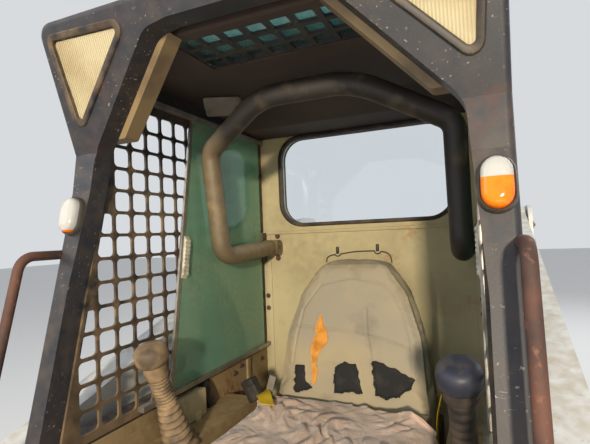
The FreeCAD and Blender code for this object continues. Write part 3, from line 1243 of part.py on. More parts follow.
def engine_cover():
    """The louvred lid over the engine, hinged in its rounded front edge."""
    front = BAY_FRONT_Y + COVER_HINGE_INSET
    rear = CHASSIS_REAR_Y - BAY_RAIL_DEPTH - COVER_GAP
    low_front = bay_top_z(front) + RUNNING_CLEARANCE
    low_rear = bay_top_z(rear) + RUNNING_CLEARANCE
    nose = COVER_THICKNESS / 2 - RUNNING_CLEARANCE
    rows = [(front, low_front, nose), (rear, low_rear, 0), (rear, low_rear + COVER_THICKNESS, 10),
            (front, low_front + COVER_THICKNESS, nose)]
    wide = BAY_HALF_WIDTH
    lid = across(rows, -wide, wide)
    step = (rear - front) / (COVER_LOUVRES + 3)
    for i in range(COVER_LOUVRES):
        y = front + step * (i + 2)
        slot = box(-wide * 0.55, wide * 0.55, y, y + step * 0.35, BAY_TOP_REAR_Z - 50, BAY_TOP_Z + 100)
        lid = lid.cut(slot)
    return lid


def rear_door():
    """The louvred tailgate, hinged at its edge on +X."""
    front = CHASSIS_REAR_Y + DOOR_GAP
    rear = front + DOOR_THICKNESS
    low = BUMPER_LOW_Z + BUMPER_HEIGHT + DOOR_GAP
    top = BAY_TOP_REAR_Z + 20
    wide = BAY_HALF_WIDTH
    rows = with_radius([(-wide, low), (wide, low), (wide, top), (-wide, top)], 22)
    door = along(rows, front, rear)
    pitch = (top - low) / (DOOR_LOUVRES + 6)
    for i in range(DOOR_LOUVRES):
        z = low + pitch * (i + 5)
        door = door.cut(box(-wide * 0.6, wide * 0.6, front, rear, z, z + LOUVRE_HEIGHT))
    pin_x = wide + DOOR_HINGE_OFFSET
    for z in door_hinge_heights():
        knuckle = Part.makeCylinder(DOOR_KNUCKLE_RADIUS, DOOR_KNUCKLE_LENGTH,
                                    V(pin_x, front, z - DOOR_KNUCKLE_LENGTH / 2))
        tab = box(wide - 1, pin_x, front + 1, front + DOOR_KNUCKLE_RADIUS - 1,
                  z - DOOR_KNUCKLE_LENGTH / 2, z + DOOR_KNUCKLE_LENGTH / 2)
        bore = Part.makeCylinder(DOOR_PIN_RADIUS + RUNNING_CLEARANCE, DOOR_PIN_LENGTH,
                                 V(pin_x, front, z - DOOR_PIN_LENGTH / 2))
        door = joined([door, knuckle, tab]).cut(bore)
    return door


def door_hinge_heights():
    low = BUMPER_LOW_Z + BUMPER_HEIGHT
    return [low + (BAY_TOP_REAR_Z - low) * share for share in DOOR_HINGE_SHARES]


def door_hinges():
    """Pins for the door, each held by two leaves on the body's side."""
    pin_x = BAY_HALF_WIDTH + DOOR_HINGE_OFFSET
    pin_y = CHASSIS_REAR_Y + DOOR_GAP
    leaf_height = (DOOR_PIN_LENGTH - DOOR_KNUCKLE_LENGTH) / 2 - DOOR_GAP
    pieces = []
    for z in door_hinge_heights():
        low = z - DOOR_PIN_LENGTH / 2
        hinge = [Part.makeCylinder(DOOR_PIN_RADIUS, DOOR_PIN_LENGTH, V(pin_x, pin_y, low))]
        for leaf_z in (low, low + DOOR_PIN_LENGTH - leaf_height):
            hinge.append(box(BAY_HALF_WIDTH, pin_x, CHASSIS_REAR_Y - DOOR_LEAF_REACH, pin_y - 1,
                             leaf_z, leaf_z + leaf_height))
        pieces.append(joined(hinge))
    return together(pieces)


def exhaust():
    """The open stack on the rail behind the lid."""
    y = CHASSIS_REAR_Y - BAY_RAIL_DEPTH / 2
    low = BAY_TOP_REAR_Z - BAY_PANEL
    stack = Part.makeCylinder(EXHAUST_RADIUS, EXHAUST_HEIGHT, V(EXHAUST_X, y, low))
    mouth = Part.makeCylinder(EXHAUST_RADIUS - EXHAUST_WALL, EXHAUST_HEIGHT / 2,
                              V(EXHAUST_X, y, low + EXHAUST_HEIGHT / 2))
    return stack.cut(mouth).cut(body_panels())


def tail_lamps():
    """Rear lamps on the uprights' webs."""
    left = ARM_MID_X - TAIL_LAMP_WIDTH / 2
    right = ARM_MID_X + TAIL_LAMP_WIDTH / 2
    low = UPRIGHT_TOP_Z - TAIL_LAMP_DROP
    top = low + TAIL_LAMP_HEIGHT
    y = UPRIGHT_REAR_Y - UPRIGHT_WEB_LEAN
    rows = with_radius([(left, low), (right, low), (right, top), (left, top)], TAIL_LAMP_ROUND)
    lamp = along(rows, y, y + TAIL_LAMP_DEPTH)
    return together(both_sides(lamp.cut(upright())))


PLAIN_PARTS = {
    "main_frame": main_frame,
    "axle_tubes": axle_tubes,
    "uprights": uprights,
    "body_panels": body_panels,
    "engine_block": engine_block,
    "engine_cover": engine_cover,
    "rear_door": rear_door,
    "door_hinges": door_hinges,
    "exhaust": exhaust,
    "tail_lamps": tail_lamps,
    "cab_front_frame": cab_front_frame,
    "cab_roof": cab_roof,
    "roof_grid": roof_grid,
    "roof_glass": roof_glass,
    "headliner": headliner,
    "corner_trims": corner_trims,
    "cab_rear_wall": cab_rear_wall,
    "rear_glass": rear_glass,
    "side_glass": side_glass,
    "glass_rails": glass_rails,
    "cab_floor": cab_floor,
    "front_deck": front_deck,
    "headlamps": headlamps,
    "marker_lamps": marker_lamps,
    "grab_handles": grab_handles,
    "roof_side_bracket": roof_side_bracket,
    "seat_base": seat_base,
    "seat_cushion": seat_cushion,
    "seat_back": seat_back,
    "seat_bracket": seat_bracket,
    "seat_cover": seat_cover,
    "seat_belt": seat_belt,
    "lever_consoles": lever_consoles,
    "pedals": pedals,
    "seat_bar": seat_bar,
    "bar_brackets": bar_brackets,
    "lift_arms": lift_arms,
    "arm_cross_tube": arm_cross_tube,
    "quick_attach": quick_attach,
    "bucket": bucket,
    "cutting_edge": cutting_edge,
    "lift_barrels": lift_barrels,
    "lift_rods": lift_rods,
    "tilt_barrels": tilt_barrels,
    "tilt_rods": tilt_rods,
}


def all_parts():
    parts = {name: make() for name, make in PLAIN_PARTS.items()}
    wall = cab_side()
    screen = side_screen()
    parts["cab_side_right"] = wall
    parts["cab_side_left"] = mirrored(wall)
    parts["side_screen_right"] = screen
    parts["side_screen_left"] = mirrored(screen)
    for side in LEVER_HEADS:
        parts["steering_lever_" + side] = steering_lever(side)
    rubber = tyre()
    metal = rim()
    for end, y in (("front", FRONT_AXLE_Y), ("rear", REAR_AXLE_Y)):
        for side, sign in (("left", -1), ("right", 1)):
            parts["tyre_" + end + "_" + side] = at_wheel(rubber, sign, y)
            parts["rim_" + end + "_" + side] = at_wheel(metal, sign, y)
    return parts


os.makedirs("parts", exist_ok=True)
for name, shape in all_parts().items():
    shape.exportStep("parts/" + name + ".step")
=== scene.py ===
import bmesh
import bpy
import math
import random
from mathutils import Matrix, Vector


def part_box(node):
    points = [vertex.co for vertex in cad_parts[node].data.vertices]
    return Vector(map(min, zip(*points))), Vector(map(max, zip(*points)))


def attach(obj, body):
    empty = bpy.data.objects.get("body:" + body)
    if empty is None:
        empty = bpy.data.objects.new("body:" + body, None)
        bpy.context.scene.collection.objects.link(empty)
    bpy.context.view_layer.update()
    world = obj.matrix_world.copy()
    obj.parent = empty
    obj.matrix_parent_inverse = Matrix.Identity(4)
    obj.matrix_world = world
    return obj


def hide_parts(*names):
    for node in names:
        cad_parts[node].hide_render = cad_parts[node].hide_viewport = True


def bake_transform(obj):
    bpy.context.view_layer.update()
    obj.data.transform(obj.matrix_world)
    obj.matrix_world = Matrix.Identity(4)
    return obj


# The dressed skid steer loader, in metres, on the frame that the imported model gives.

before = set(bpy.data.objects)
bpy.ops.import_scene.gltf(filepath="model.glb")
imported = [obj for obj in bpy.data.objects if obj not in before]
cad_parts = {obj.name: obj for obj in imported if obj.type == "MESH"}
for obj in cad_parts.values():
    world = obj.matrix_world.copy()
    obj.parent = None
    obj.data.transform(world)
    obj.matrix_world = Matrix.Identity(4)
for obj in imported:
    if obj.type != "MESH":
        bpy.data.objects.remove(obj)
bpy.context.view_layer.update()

KINK_Y = -0.325


def place_camera():
    """The photograph's view: from in front of the cab, through its open front."""
    yaw, pitch, roll = math.radians(23.17), math.radians(1.77), math.radians(2.34)
    ahead = Vector((-math.sin(yaw) * math.cos(pitch), math.cos(yaw) * math.cos(pitch), math.sin(pitch)))
    right = ahead.cross(Vector((0, 0, 1))).normalized()
    up = right.cross(ahead)
    rolled_up = up * math.cos(roll) + right * math.sin(roll)
    rolled_right = right * math.cos(roll) - up * math.sin(roll)
    data = bpy.data.cameras.new("photo_camera")
    data.lens = 27.0
    data.clip_start = 0.02
    camera = bpy.data.objects.new("photo_camera", data)
    axes = Matrix((rolled_right, rolled_up, -ahead)).transposed()
    camera.matrix_world = Matrix.Translation((0.4286, -1.099, 1.444)) @ axes.to_4x4()
    bpy.context.scene.collection.objects.link(camera)
    bpy.context.scene.camera = camera


place_camera()
bpy.context.scene.view_settings.view_transform = "Standard"


def tone(red, green, blue):
    """A colour given as 0 to 255 on screen, as the shader's own linear numbers."""
    return tuple(((c / 255 + 0.055) / 1.055) ** 2.4 if c > 10 else c / 3294 for c in (red, green, blue))


class Finish:
    """A material built up in layers over one base colour, from noise in the piece's own coordinates."""

    def __init__(self, name, colour, rough, metal=0.0):
        self.material = bpy.data.materials.new(name)
        self.material.use_nodes = True
        self.tree = self.material.node_tree
        self.shader = self.tree.nodes["Principled BSDF"]
        self.shader.inputs["Base Color"].default_value = (*colour, 1)
        self.shader.inputs["Roughness"].default_value = rough
        self.shader.inputs["Metallic"].default_value = metal
        self.colour = self.shader.inputs["Base Color"].default_value[:]
        self.rough = rough
        self.coat = self.add("TexCoord").outputs["Object"]

    def add(self, kind, **settings):
        node = self.tree.nodes.new("ShaderNode" + kind)
        for key, value in settings.items():
            setattr(node, key, value)
        return node

    def join(self, source, target):
        if isinstance(source, (int, float, tuple)):
            target.default_value = source
        else:
            self.tree.links.new(source, target)

    def stretched(self, stretch):
        node = self.add("Mapping")
        self.join(self.coat, node.inputs["Vector"])
        node.inputs["Scale"].default_value = stretch
        return node.outputs["Vector"]

    def noise(self, scale, detail=4.0, stretch=None, distortion=0.0):
        node = self.add("TexNoise")
        self.join(self.stretched(stretch) if stretch else self.coat, node.inputs["Vector"])
        node.inputs["Scale"].default_value = scale
        node.inputs["Detail"].default_value = detail
        node.inputs["Distortion"].default_value = distortion
        return node.outputs["Fac"]

    def cells(self, scale, feature="F1"):
        node = self.add("TexVoronoi", feature=feature)
        self.join(self.coat, node.inputs["Vector"])
        node.inputs["Scale"].default_value = scale
        return node.outputs["Distance"]

    def span(self, value, low, high, out_low=0.0, out_high=1.0):
        """value from low to high, as out_low to out_high and no further."""
        node = self.add("MapRange")
        self.join(value, node.inputs["Value"])
        for name, number in (("From Min", low), ("From Max", high), ("To Min", out_low), ("To Max", out_high)):
            node.inputs[name].default_value = number
        return node.outputs["Result"]

    def math(self, operation, first, second):
        node = self.add("Math", operation=operation)
        self.join(first, node.inputs[0])
        self.join(second, node.inputs[1])
        return node.outputs["Value"]

    def along(self, axis, low, high):
        """0 to 1 over a stretch of one of the piece's own axes."""
        node = self.add("SeparateXYZ")
        self.join(self.coat, node.inputs["Vector"])
        return self.span(node.outputs[axis], low, high)

    def upward(self, low=0.2, high=0.9):
        node = self.add("SeparateXYZ")
        self.join(self.add("NewGeometry").outputs["Normal"], node.inputs["Vector"])
        return self.span(node.outputs["Z"], low, high)

    def over(self, colour, mask, rough=None):
        """Lay a colour, and a roughness if given, over what is there, where the mask is 1."""
        node = self.add("Mix", data_type="RGBA")
        self.join(mask, node.inputs["Factor"])
        self.join(self.colour, node.inputs["A"])
        node.inputs["B"].default_value = (*colour, 1)
        self.colour = node.outputs["Result"]
        self.join(self.colour, self.shader.inputs["Base Color"])
        if rough is not None:
            node = self.add("Mix", data_type="FLOAT")
            self.join(mask, node.inputs["Factor"])
            self.join(self.rough, node.inputs["A"])
            node.inputs["B"].default_value = rough
            self.rough = node.outputs["Result"]
            self.join(self.rough, self.shader.inputs["Roughness"])
        return self

    def bump(self, height, distance, strength=1.0):
        node = self.add("Bump")
        self.join(height, node.inputs["Height"])
        node.inputs["Distance"].default_value = distance
        node.inputs["Strength"].default_value = strength
        if self.shader.inputs["Normal"].is_linked:
            self.join(self.shader.inputs["Normal"].links[0].from_socket, node.inputs["Normal"])
        self.join(node.outputs["Normal"], self.shader.inputs["Normal"])
        return self


def worn_paint(name, colour, dust, chip, rust, dust_share=0.45, chip_share=0.5, rust_share=0.35, rough=0.5, shade_share=0.7):
    """Old paint: uneven dust, small chips to a lighter ground, and rust that spreads from some of them."""
    f = Finish(name, colour, rough)
    shade = tuple(c * 0.6 for c in colour)
    f.over(shade, f.span(f.noise(3.1, 5), 0.42, 0.7, 0, shade_share))
    broad = f.span(f.noise(2.2, 6, distortion=0.4), 0.38, 0.68)
    fine = f.span(f.noise(34, 5), 0.32, 0.66)
    f.over(dust, f.math("MULTIPLY", f.math("MULTIPLY", broad, fine), dust_share), 0.85)
    f.over(dust, f.math("MULTIPLY", f.math("MULTIPLY", f.upward(), fine), 0.55), 0.9)
    rusty = f.math("MULTIPLY", f.span(f.noise(5.3, 6), 0.56, 0.66), f.span(f.noise(47, 4), 0.4, 0.6))
    f.over(rust, f.math("MULTIPLY", rusty, rust_share), 0.8)
    chips = f.math("MULTIPLY", f.span(f.noise(150, 3), 0.66, 0.7), f.span(f.noise(7, 3), 0.42, 0.6))
    f.over(chip, f.math("MULTIPLY", chips, chip_share), 0.6)
    scratch = f.math("MULTIPLY", f.span(f.noise(30, 3, (1, 1, 12)), 0.69, 0.72), f.span(f.noise(9, 2), 0.5, 0.62))
    f.over(chip, f.math("MULTIPLY", scratch, chip_share * 0.7), 0.6)
    f.bump(f.noise(240, 3), 0.0006, 0.35)
    f.bump(chips, 0.0005, 0.5)
    return f


def glassy(name, colour, share, rough=0.03, dirt=(180, 170, 150), dirt_share=0.25):
    """Thin tinted glass that lets light through, with grime in patches."""
    f = Finish(name, tone(*dirt), 0.6)
    clear = f.add("BsdfTransparent")
    clear.inputs["Color"].default_value = (*colour, 1)
    shine = f.add("BsdfGlossy")
    shine.inputs["Color"].default_value = (0.9, 0.95, 0.95, 1)
    shine.inputs["Roughness"].default_value = rough
    fresnel = f.add("Fresnel")
    fresnel.inputs["IOR"].default_value = 1.45
    pane = f.add("MixShader")
    f.join(f.math("MULTIPLY", fresnel.outputs["Fac"], 0.9), pane.inputs["Fac"])
    f.join(clear.outputs["BSDF"], pane.inputs[1])
    f.join(shine.outputs["BSDF"], pane.inputs[2])
    body = f.add("MixShader")
    body.inputs["Fac"].default_value = share
    f.join(pane.outputs["Shader"], body.inputs[1])
    tint = f.add("BsdfPrincipled")
    tint.inputs["Base Color"].default_value = (*colour, 1)
    tint.inputs["Roughness"].default_value = 0.15
    f.join(tint.outputs["BSDF"], body.inputs[2])
    whole = f.add("MixShader")
    grime = f.math("MULTIPLY", f.span(f.noise(5, 7), 0.42, 0.75), f.span(f.noise(60, 4), 0.3, 0.7))
    f.join(f.math("MULTIPLY", grime, dirt_share), whole.inputs["Fac"])
    f.join(body.outputs["Shader"], whole.inputs[1])
    f.join(f.shader.outputs["BSDF"], whole.inputs[2])
    f.join(whole.outputs["Shader"], f.tree.nodes["Material Output"].inputs["Surface"])
    return f


DUST = tone(150, 124, 92)
RUST = tone(104, 54, 34)
CHIP = tone(178, 168, 156)

cab_black = worn_paint("cab_black", tone(33, 35, 43), DUST, CHIP, RUST, dust_share=0.16, chip_share=0.7,
                       rust_share=0.2, shade_share=0.5)
screen_black = worn_paint("screen_black", tone(30, 27, 26), DUST, CHIP, RUST, dust_share=0.6, chip_share=0.1)
screen_black.over(tone(112, 92, 68), screen_black.math(
    "MULTIPLY", screen_black.along("Z", 1.25, 1.0), screen_black.span(screen_black.noise(12, 5), 0.35, 0.6)), 0.9)
white_paint = worn_paint("white_paint", tone(214, 216, 216), tone(178, 166, 144), tone(120, 112, 104), RUST,
                         dust_share=0.28, chip_share=0.35, rust_share=0.25, rough=0.42, shade_share=0.12)
chassis_paint = worn_paint("chassis_paint", tone(56, 52, 49), DUST, tone(120, 100, 84), RUST, dust_share=0.8,
                           rust_share=0.8, rough=0.7)
wall_tan = worn_paint("wall_tan", tone(174, 163, 128), tone(186, 170, 128), tone(110, 92, 66), tone(140, 96, 44),
                      dust_share=0.6, chip_share=0.3, rust_share=0.5, rough=0.75)
rim_paint = worn_paint("rim_paint", tone(196, 194, 186), tone(140, 118, 90), tone(80, 66, 56), RUST,
                       dust_share=0.9, rust_share=1.0, rough=0.55)

panel_brown = worn_paint("panel_brown", tone(132, 110, 76), tone(160, 138, 100), tone(190, 176, 140),
                         tone(108, 64, 34), dust_share=0.7, chip_share=0.6, rust_share=0.9, rough=0.8)

lining = Finish("lining", tone(52, 40, 36), 0.8)
lining.over(tone(88, 70, 58), lining.math("MULTIPLY", lining.span(lining.noise(3, 6), 0.42, 0.75), 0.5))
lining.bump(lining.noise(420, 2), 0.0008, 0.5)

pod_plastic = Finish("pod_plastic", tone(134, 114, 82), 0.65)
pod_plastic.over(tone(70, 56, 46), pod_plastic.span(pod_plastic.noise(6, 6), 0.45, 0.68, 0, 0.85))
pod_plastic.bump(pod_plastic.noise(300, 2), 0.0006, 0.4)

bar_paint_and_shade = worn_paint("bar_paint_and_shade", tone(110, 96, 74), tone(158, 138, 104), tone(44, 38, 34), RUST,
                       dust_share=0.7, chip_share=0.8)
# Near-black laid over the whole bar except its left leg, by x: painted shade for the shade on the top arch and the
# right leg.
bar_paint_and_shade.over(tone(27, 26, 29), bar_paint_and_shade.math(
    "MULTIPLY", bar_paint_and_shade.along("X", -0.35, -0.27), bar_paint_and_shade.span(bar_paint_and_shade.noise(14, 5), 0.3, 0.45, 0.55, 0.92)))

rusty_steel = Finish("rusty_steel", tone(92, 60, 48), 0.75)
rusty_steel.over(tone(58, 42, 38), rusty_steel.span(rusty_steel.noise(11, 6), 0.4, 0.62))
rusty_steel.over(tone(132, 88, 66), rusty_steel.span(rusty_steel.noise(60, 4), 0.6, 0.7, 0, 0.6))
rusty_steel.bump(rusty_steel.noise(130, 5), 0.0009, 0.5)

bucket_steel = Finish("bucket_steel", tone(96, 88, 82), 0.5, 0.6)
bucket_steel.over(tone(110, 62, 40), bucket_steel.span(bucket_steel.noise(4.5, 8), 0.42, 0.62, 0, 0.9), 0.85)
bucket_steel.over(tone(150, 126, 98), bucket_steel.math(
    "MULTIPLY", bucket_steel.span(bucket_steel.noise(2.4, 6), 0.45, 0.7), 0.6), 0.9)
bucket_steel.over(tone(170, 168, 166), bucket_steel.math(
    "MULTIPLY", bucket_steel.span(bucket_steel.noise(26, 4, (14, 1, 1)), 0.58, 0.66), 0.7), 0.35)
bucket_steel.bump(bucket_steel.noise(90, 5), 0.0012, 0.4)

edge_steel = Finish("edge_steel", tone(150, 146, 142), 0.38, 0.9)
edge_steel.over(tone(92, 70, 56), edge_steel.span(edge_steel.noise(9, 7), 0.5, 0.7, 0, 0.8), 0.7)
edge_steel.bump(edge_steel.noise(60, 3, (10, 1, 1)), 0.0008, 0.4)

chrome = Finish("chrome", tone(215, 216, 220), 0.14, 1.0)
chrome.over(tone(120, 110, 100), chrome.span(chrome.noise(14, 5), 0.6, 0.75, 0, 0.5), 0.4)

aluminium = Finish("aluminium", tone(168, 164, 156), 0.42, 0.9)
aluminium.over(tone(110, 98, 84), aluminium.span(aluminium.noise(18, 5), 0.45, 0.7, 0, 0.6), 0.75)
aluminium.bump(aluminium.noise(60, 2, (1, 1, 14)), 0.0003, 0.4)

engine_iron = Finish("engine_iron", tone(62, 60, 60), 0.6, 0.4)
engine_iron.over(tone(30, 26, 22), engine_iron.span(engine_iron.noise(7, 6), 0.42, 0.66))
engine_iron.bump(engine_iron.noise(80, 4), 0.002, 0.5)

rubber = Finish("rubber", tone(34, 32, 31), 0.7)
rubber.over(tone(92, 78, 62), rubber.math("MULTIPLY", rubber.span(rubber.noise(9, 6), 0.4, 0.7), 0.55), 0.9)
rubber.bump(rubber.noise(200, 3), 0.0006, 0.4)

lever_rubber = Finish("lever_rubber", tone(86, 72, 57), 0.65)
lever_rubber.over(tone(170, 143, 107), lever_rubber.math(
    "MULTIPLY", lever_rubber.span(lever_rubber.noise(22, 6), 0.36, 0.66), 0.75), 0.9)
lever_rubber.bump(lever_rubber.noise(160, 4), 0.0006, 0.5)

tyre_rubber = Finish("tyre_rubber", tone(42, 40, 38), 0.8)
tyre_rubber.over(tone(128, 108, 84), tyre_rubber.math(
    "MULTIPLY", tyre_rubber.span(tyre_rubber.noise(7, 7), 0.38, 0.66), 0.8), 0.95)
tyre_rubber.bump(tyre_rubber.noise(120, 4), 0.0012, 0.5)

vinyl = Finish("vinyl", tone(143, 134, 116), 0.6)
vinyl.over(tone(168, 151, 116), vinyl.span(vinyl.noise(5, 6), 0.42, 0.7, 0, 0.65), 0.8)
vinyl.over(tone(92, 86, 76), vinyl.span(vinyl.noise(8, 7), 0.56, 0.74, 0, 0.5))
vinyl.bump(vinyl.cells(260), 0.0006, 0.4)

cloth = Finish("cloth", tone(196, 172, 156), 0.95)
cloth.over(tone(140, 116, 102), cloth.span(cloth.noise(6, 5), 0.42, 0.7, 0, 0.7))
cloth.over(tone(110, 92, 76), cloth.span(cloth.noise(13, 5), 0.6, 0.75, 0, 0.6))
cloth.bump(cloth.noise(24, 3, distortion=1.6), 0.007, 0.7)
cloth.bump(cloth.noise(700, 2), 0.0005, 0.5)
cloth.shader.inputs["Sheen Weight"].default_value = 0.3

webbing = Finish("webbing", tone(214, 182, 30), 0.8)
webbing.over(tone(150, 118, 40), webbing.span(webbing.noise(14, 5), 0.45, 0.7, 0, 0.7))
webbing.bump(webbing.noise(60, 1, (1, 1, 14)), 0.0008, 0.6)

clear_glass = glassy("clear_glass", (0.96, 0.98, 0.99), 0.0, dirt=(130, 124, 110), dirt_share=0.01)
green_glass = glassy("green_glass", tone(160, 206, 180), 0.36, dirt=(158, 160, 112), dirt_share=0.45)
teal_glass = glassy("teal_glass", tone(212, 248, 244), 0.06, dirt=(150, 160, 140), dirt_share=0.1)

cream_lens = Finish("cream_lens", tone(186, 174, 140), 0.25)
cream_lens.over(tone(150, 130, 92), cream_lens.span(cream_lens.noise(9, 5), 0.45, 0.75, 0, 0.7))
ribs = cream_lens.add("TexWave", bands_direction="X")
cream_lens.join(cream_lens.coat, ribs.inputs["Vector"])
ribs.inputs["Scale"].default_value = 55
cream_lens.over(tone(128, 114, 84), cream_lens.span(ribs.outputs["Fac"], 0.75, 1.0, 0, 0.5))
cream_lens.bump(ribs.outputs["Fac"], 0.0015, 0.7)
amber_lens = Finish("amber_lens", tone(240, 124, 14), 0.12)
amber_lens.over(tone(196, 78, 6), amber_lens.span(amber_lens.noise(30, 3), 0.45, 0.7, 0, 0.6))
red_lens = Finish("red_lens", tone(150, 18, 14), 0.15)
red_lens.bump(red_lens.noise(90, 2), 0.001, 0.4)

NODE_FINISHES = {
    "main_frame": chassis_paint, "axle_tubes": chassis_paint, "uprights": white_paint, "body_panels": white_paint,
    "engine_block": engine_iron, "engine_cover": white_paint, "rear_door": white_paint, "door_hinges": chassis_paint,
    "exhaust": rusty_steel, "tail_lamps": red_lens, "cab_front_frame": cab_black, "cab_roof": cab_black,
    "roof_grid": cab_black, "roof_glass": teal_glass, "headliner": lining, "corner_trims": pod_plastic,
    "cab_rear_wall": wall_tan, "rear_glass": clear_glass, "side_glass": green_glass, "glass_rails": aluminium,
    "cab_floor": chassis_paint, "front_deck": cab_black, "headlamps": cream_lens, "marker_lamps": amber_lens,
    "grab_handles": rusty_steel, "roof_side_bracket": cab_black, "seat_base": chassis_paint, "seat_cushion": vinyl,
    "seat_back": vinyl, "seat_bracket": chassis_paint, "seat_cover": cloth, "seat_belt": webbing,
    # The consoles take panel_brown, darker than wall_tan: partly their own rusty brown, partly painted shade beside the
    # seat.
    "lever_consoles": panel_brown, "pedals": rusty_steel, "seat_bar": bar_paint_and_shade, "bar_brackets": chassis_paint,
    "lift_arms": white_paint, "arm_cross_tube": white_paint, "quick_attach": chassis_paint, "bucket": bucket_steel,
    "cutting_edge": edge_steel, "lift_barrels": chassis_paint, "lift_rods": chrome, "tilt_barrels": chassis_paint,
    "tilt_rods": chrome, "cab_side_left": cab_black, "cab_side_right": cab_black, "side_screen_left": screen_black,
    "side_screen_right": screen_black, "steering_lever_left": lever_rubber, "steering_lever_right": lever_rubber,
}
for place in ("front_left", "front_right", "rear_left", "rear_right"):
    NODE_FINISHES["tyre_" + place] = tyre_rubber
    NODE_FINISHES["rim_" + place] = rim_paint
for node, finish in NODE_FINISHES.items():
    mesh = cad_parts[node].data
    mesh.materials.clear()
    mesh.materials.append(finish.material)


lens_clear = glassy("lens_clear", (0.93, 0.92, 0.88), 0.45, rough=0.08, dirt_share=0.15)
marker_metal = Finish("marker_metal", tone(92, 88, 84), 0.4, 0.6)
marker_metal.over(tone(96, 84, 70), marker_metal.span(marker_metal.noise(40, 5), 0.45, 0.7, 0, 0.6), 0.7)
head_navy = Finish("head_navy", tone(42, 44, 56), 0.5)
head_navy.over(tone(92, 82, 72), head_navy.span(head_navy.noise(26, 6), 0.5, 0.75, 0, 0.6), 0.85)
head_navy.bump(head_navy.noise(160, 4), 0.0005, 0.4)
boot_rubber = Finish("boot_rubber", tone(38, 34, 32), 0.7)
boot_rubber.over(tone(128, 104, 80), boot_rubber.math(
    "MULTIPLY", boot_rubber.span(boot_rubber.noise(18, 6), 0.42, 0.7), 0.32), 0.9)
boot_rubber.bump(boot_rubber.noise(220, 3), 0.0005, 0.4)
trim_dark = Finish("trim_dark", tone(40, 38, 38), 0.55)
trim_dark.over(tone(96, 82, 66), trim_dark.span(trim_dark.noise(24, 5), 0.5, 0.75, 0, 0.5), 0.85)
trim_dark.bump(trim_dark.noise(240, 3), 0.0004, 0.4)
trim_grey = Finish("trim_grey", tone(122, 116, 108), 0.6)
trim_grey.over(tone(84, 74, 64), trim_grey.span(trim_grey.noise(16, 6), 0.45, 0.7, 0, 0.6), 0.8)
trim_grey.bump(trim_grey.noise(260, 2), 0.0004, 0.4)
trim_pale = Finish("trim_pale", tone(196, 190, 174), 0.5)
trim_pale.over(tone(120, 106, 86), trim_pale.span(trim_pale.noise(30, 5), 0.48, 0.7, 0, 0.7), 0.85)
trim_pale.bump(trim_pale.noise(200, 2), 0.0003, 0.4)
foam = Finish("foam", tone(214, 148, 62), 0.95)
foam.over(tone(172, 108, 40), foam.span(foam.noise(30, 6), 0.42, 0.68, 0, 0.8))
foam.bump(foam.cells(900), 0.0012, 0.7)
pipe_steel = Finish("pipe_steel", tone(88, 86, 84), 0.4, 0.7)
pipe_steel.over(tone(110, 84, 62), pipe_steel.span(pipe_steel.noise(24, 5), 0.48, 0.72, 0, 0.7), 0.75)
pipe_steel.bump(pipe_steel.noise(200, 3), 0.0003, 0.4)
torn_lining = Finish("torn_lining", tone(34, 33, 34), 0.95)
torn_lining.over(tone(62, 58, 54), torn_lining.span(torn_lining.noise(20, 6), 0.5, 0.72, 0, 0.7))
torn_lining.bump(torn_lining.noise(420, 2), 0.0006, 0.6)

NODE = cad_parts
SIDES = (-1, 1)

# Named places, in metres, that the detail pieces share.
ROOF_LOW_Z = 1.905
REAR_WALL_Y = 0.555
INNER_X = 0.430
FRONT_LINE = ((-0.254, 0.605), (-0.145, 1.034), (-0.038, 1.463), (-0.012, 1.5696), (0.0, 1.658), (-0.096, 1.946))
LAMP_CORNERS = ((0.443, 1.902), (0.430, 1.723), (0.247, 1.896))
LEVER_PIVOT = (-0.113, 0.870)
LIFT_PIVOT = (1.225, 1.450)
LEVER_HEADS = {"left": (-0.350, -0.225, 1.164), "right": (0.372, -0.240, 1.180)}


def front_point(x, z, out=0.0):
    """A point on the front frame's face, or that far in front of it."""
    for (y_a, z_a), (y_b, z_b) in zip(FRONT_LINE, FRONT_LINE[1:]):
        if z <= z_b or z_b == FRONT_LINE[-1][1]:
            break
    share = (z - z_a) / (z_b - z_a)
    along = Vector((0, y_b - y_a, z_b - z_a)).normalized()
    face = Vector((0, -along.z, along.y))
    return Vector((x, KINK_Y + y_a + share * (y_b - y_a), z)) + face * out


def made(name, bm, finishes, body, smooth=38):
    """A finished mesh piece on its body, or on none yet where body is None."""
    bmesh.ops.recalc_face_normals(bm, faces=bm.faces)
    mesh = bpy.data.meshes.new(name)
    bm.to_mesh(mesh)
    bm.free()
    mesh.shade_smooth()
    mesh.set_sharp_from_angle(angle=math.radians(smooth))
    piece = bpy.data.objects.new(name, mesh)
    bpy.context.scene.collection.objects.link(piece)
    for finish in finishes if isinstance(finishes, (list, tuple)) else [finishes]:
        mesh.materials.append(finish.material)
    if body:
        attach(piece, body)
    return piece


def lofted(bm, loops, closed=True, cap_first=False, cap_last=False, material=0):
    """Skin between loops that have the same number of points."""
    rings = [[bm.verts.new(p) for p in loop] for loop in loops]
    count = len(rings[0])
    for low, high in zip(rings, rings[1:]):
        for i in range(count if closed else count - 1):
            j = (i + 1) % count
            bm.faces.new((low[i], low[j], high[j], high[i])).material_index = material
    if cap_first:
        bm.faces.new(rings[0]).material_index = material
    if cap_last:
        bm.faces.new(rings[-1]).material_index = material
    return rings


def turned(bm, profile, base, axis, steps=28, material=0):
    """A turned form: the profile's (radius, distance along the axis) pairs go round the axis."""
    axis = Vector(axis).normalized()
    side = axis.orthogonal().normalized()
    other = axis.cross(side)
    loops = []
    for radius, along in profile:
        centre = Vector(base) + axis * along
        loops.append([centre + (side * math.cos(a) + other * math.sin(a)) * max(radius, 0.0002)
                      for a in (math.tau * i / steps for i in range(steps))])
    lofted(bm, loops, cap_first=True, cap_last=True, material=material)


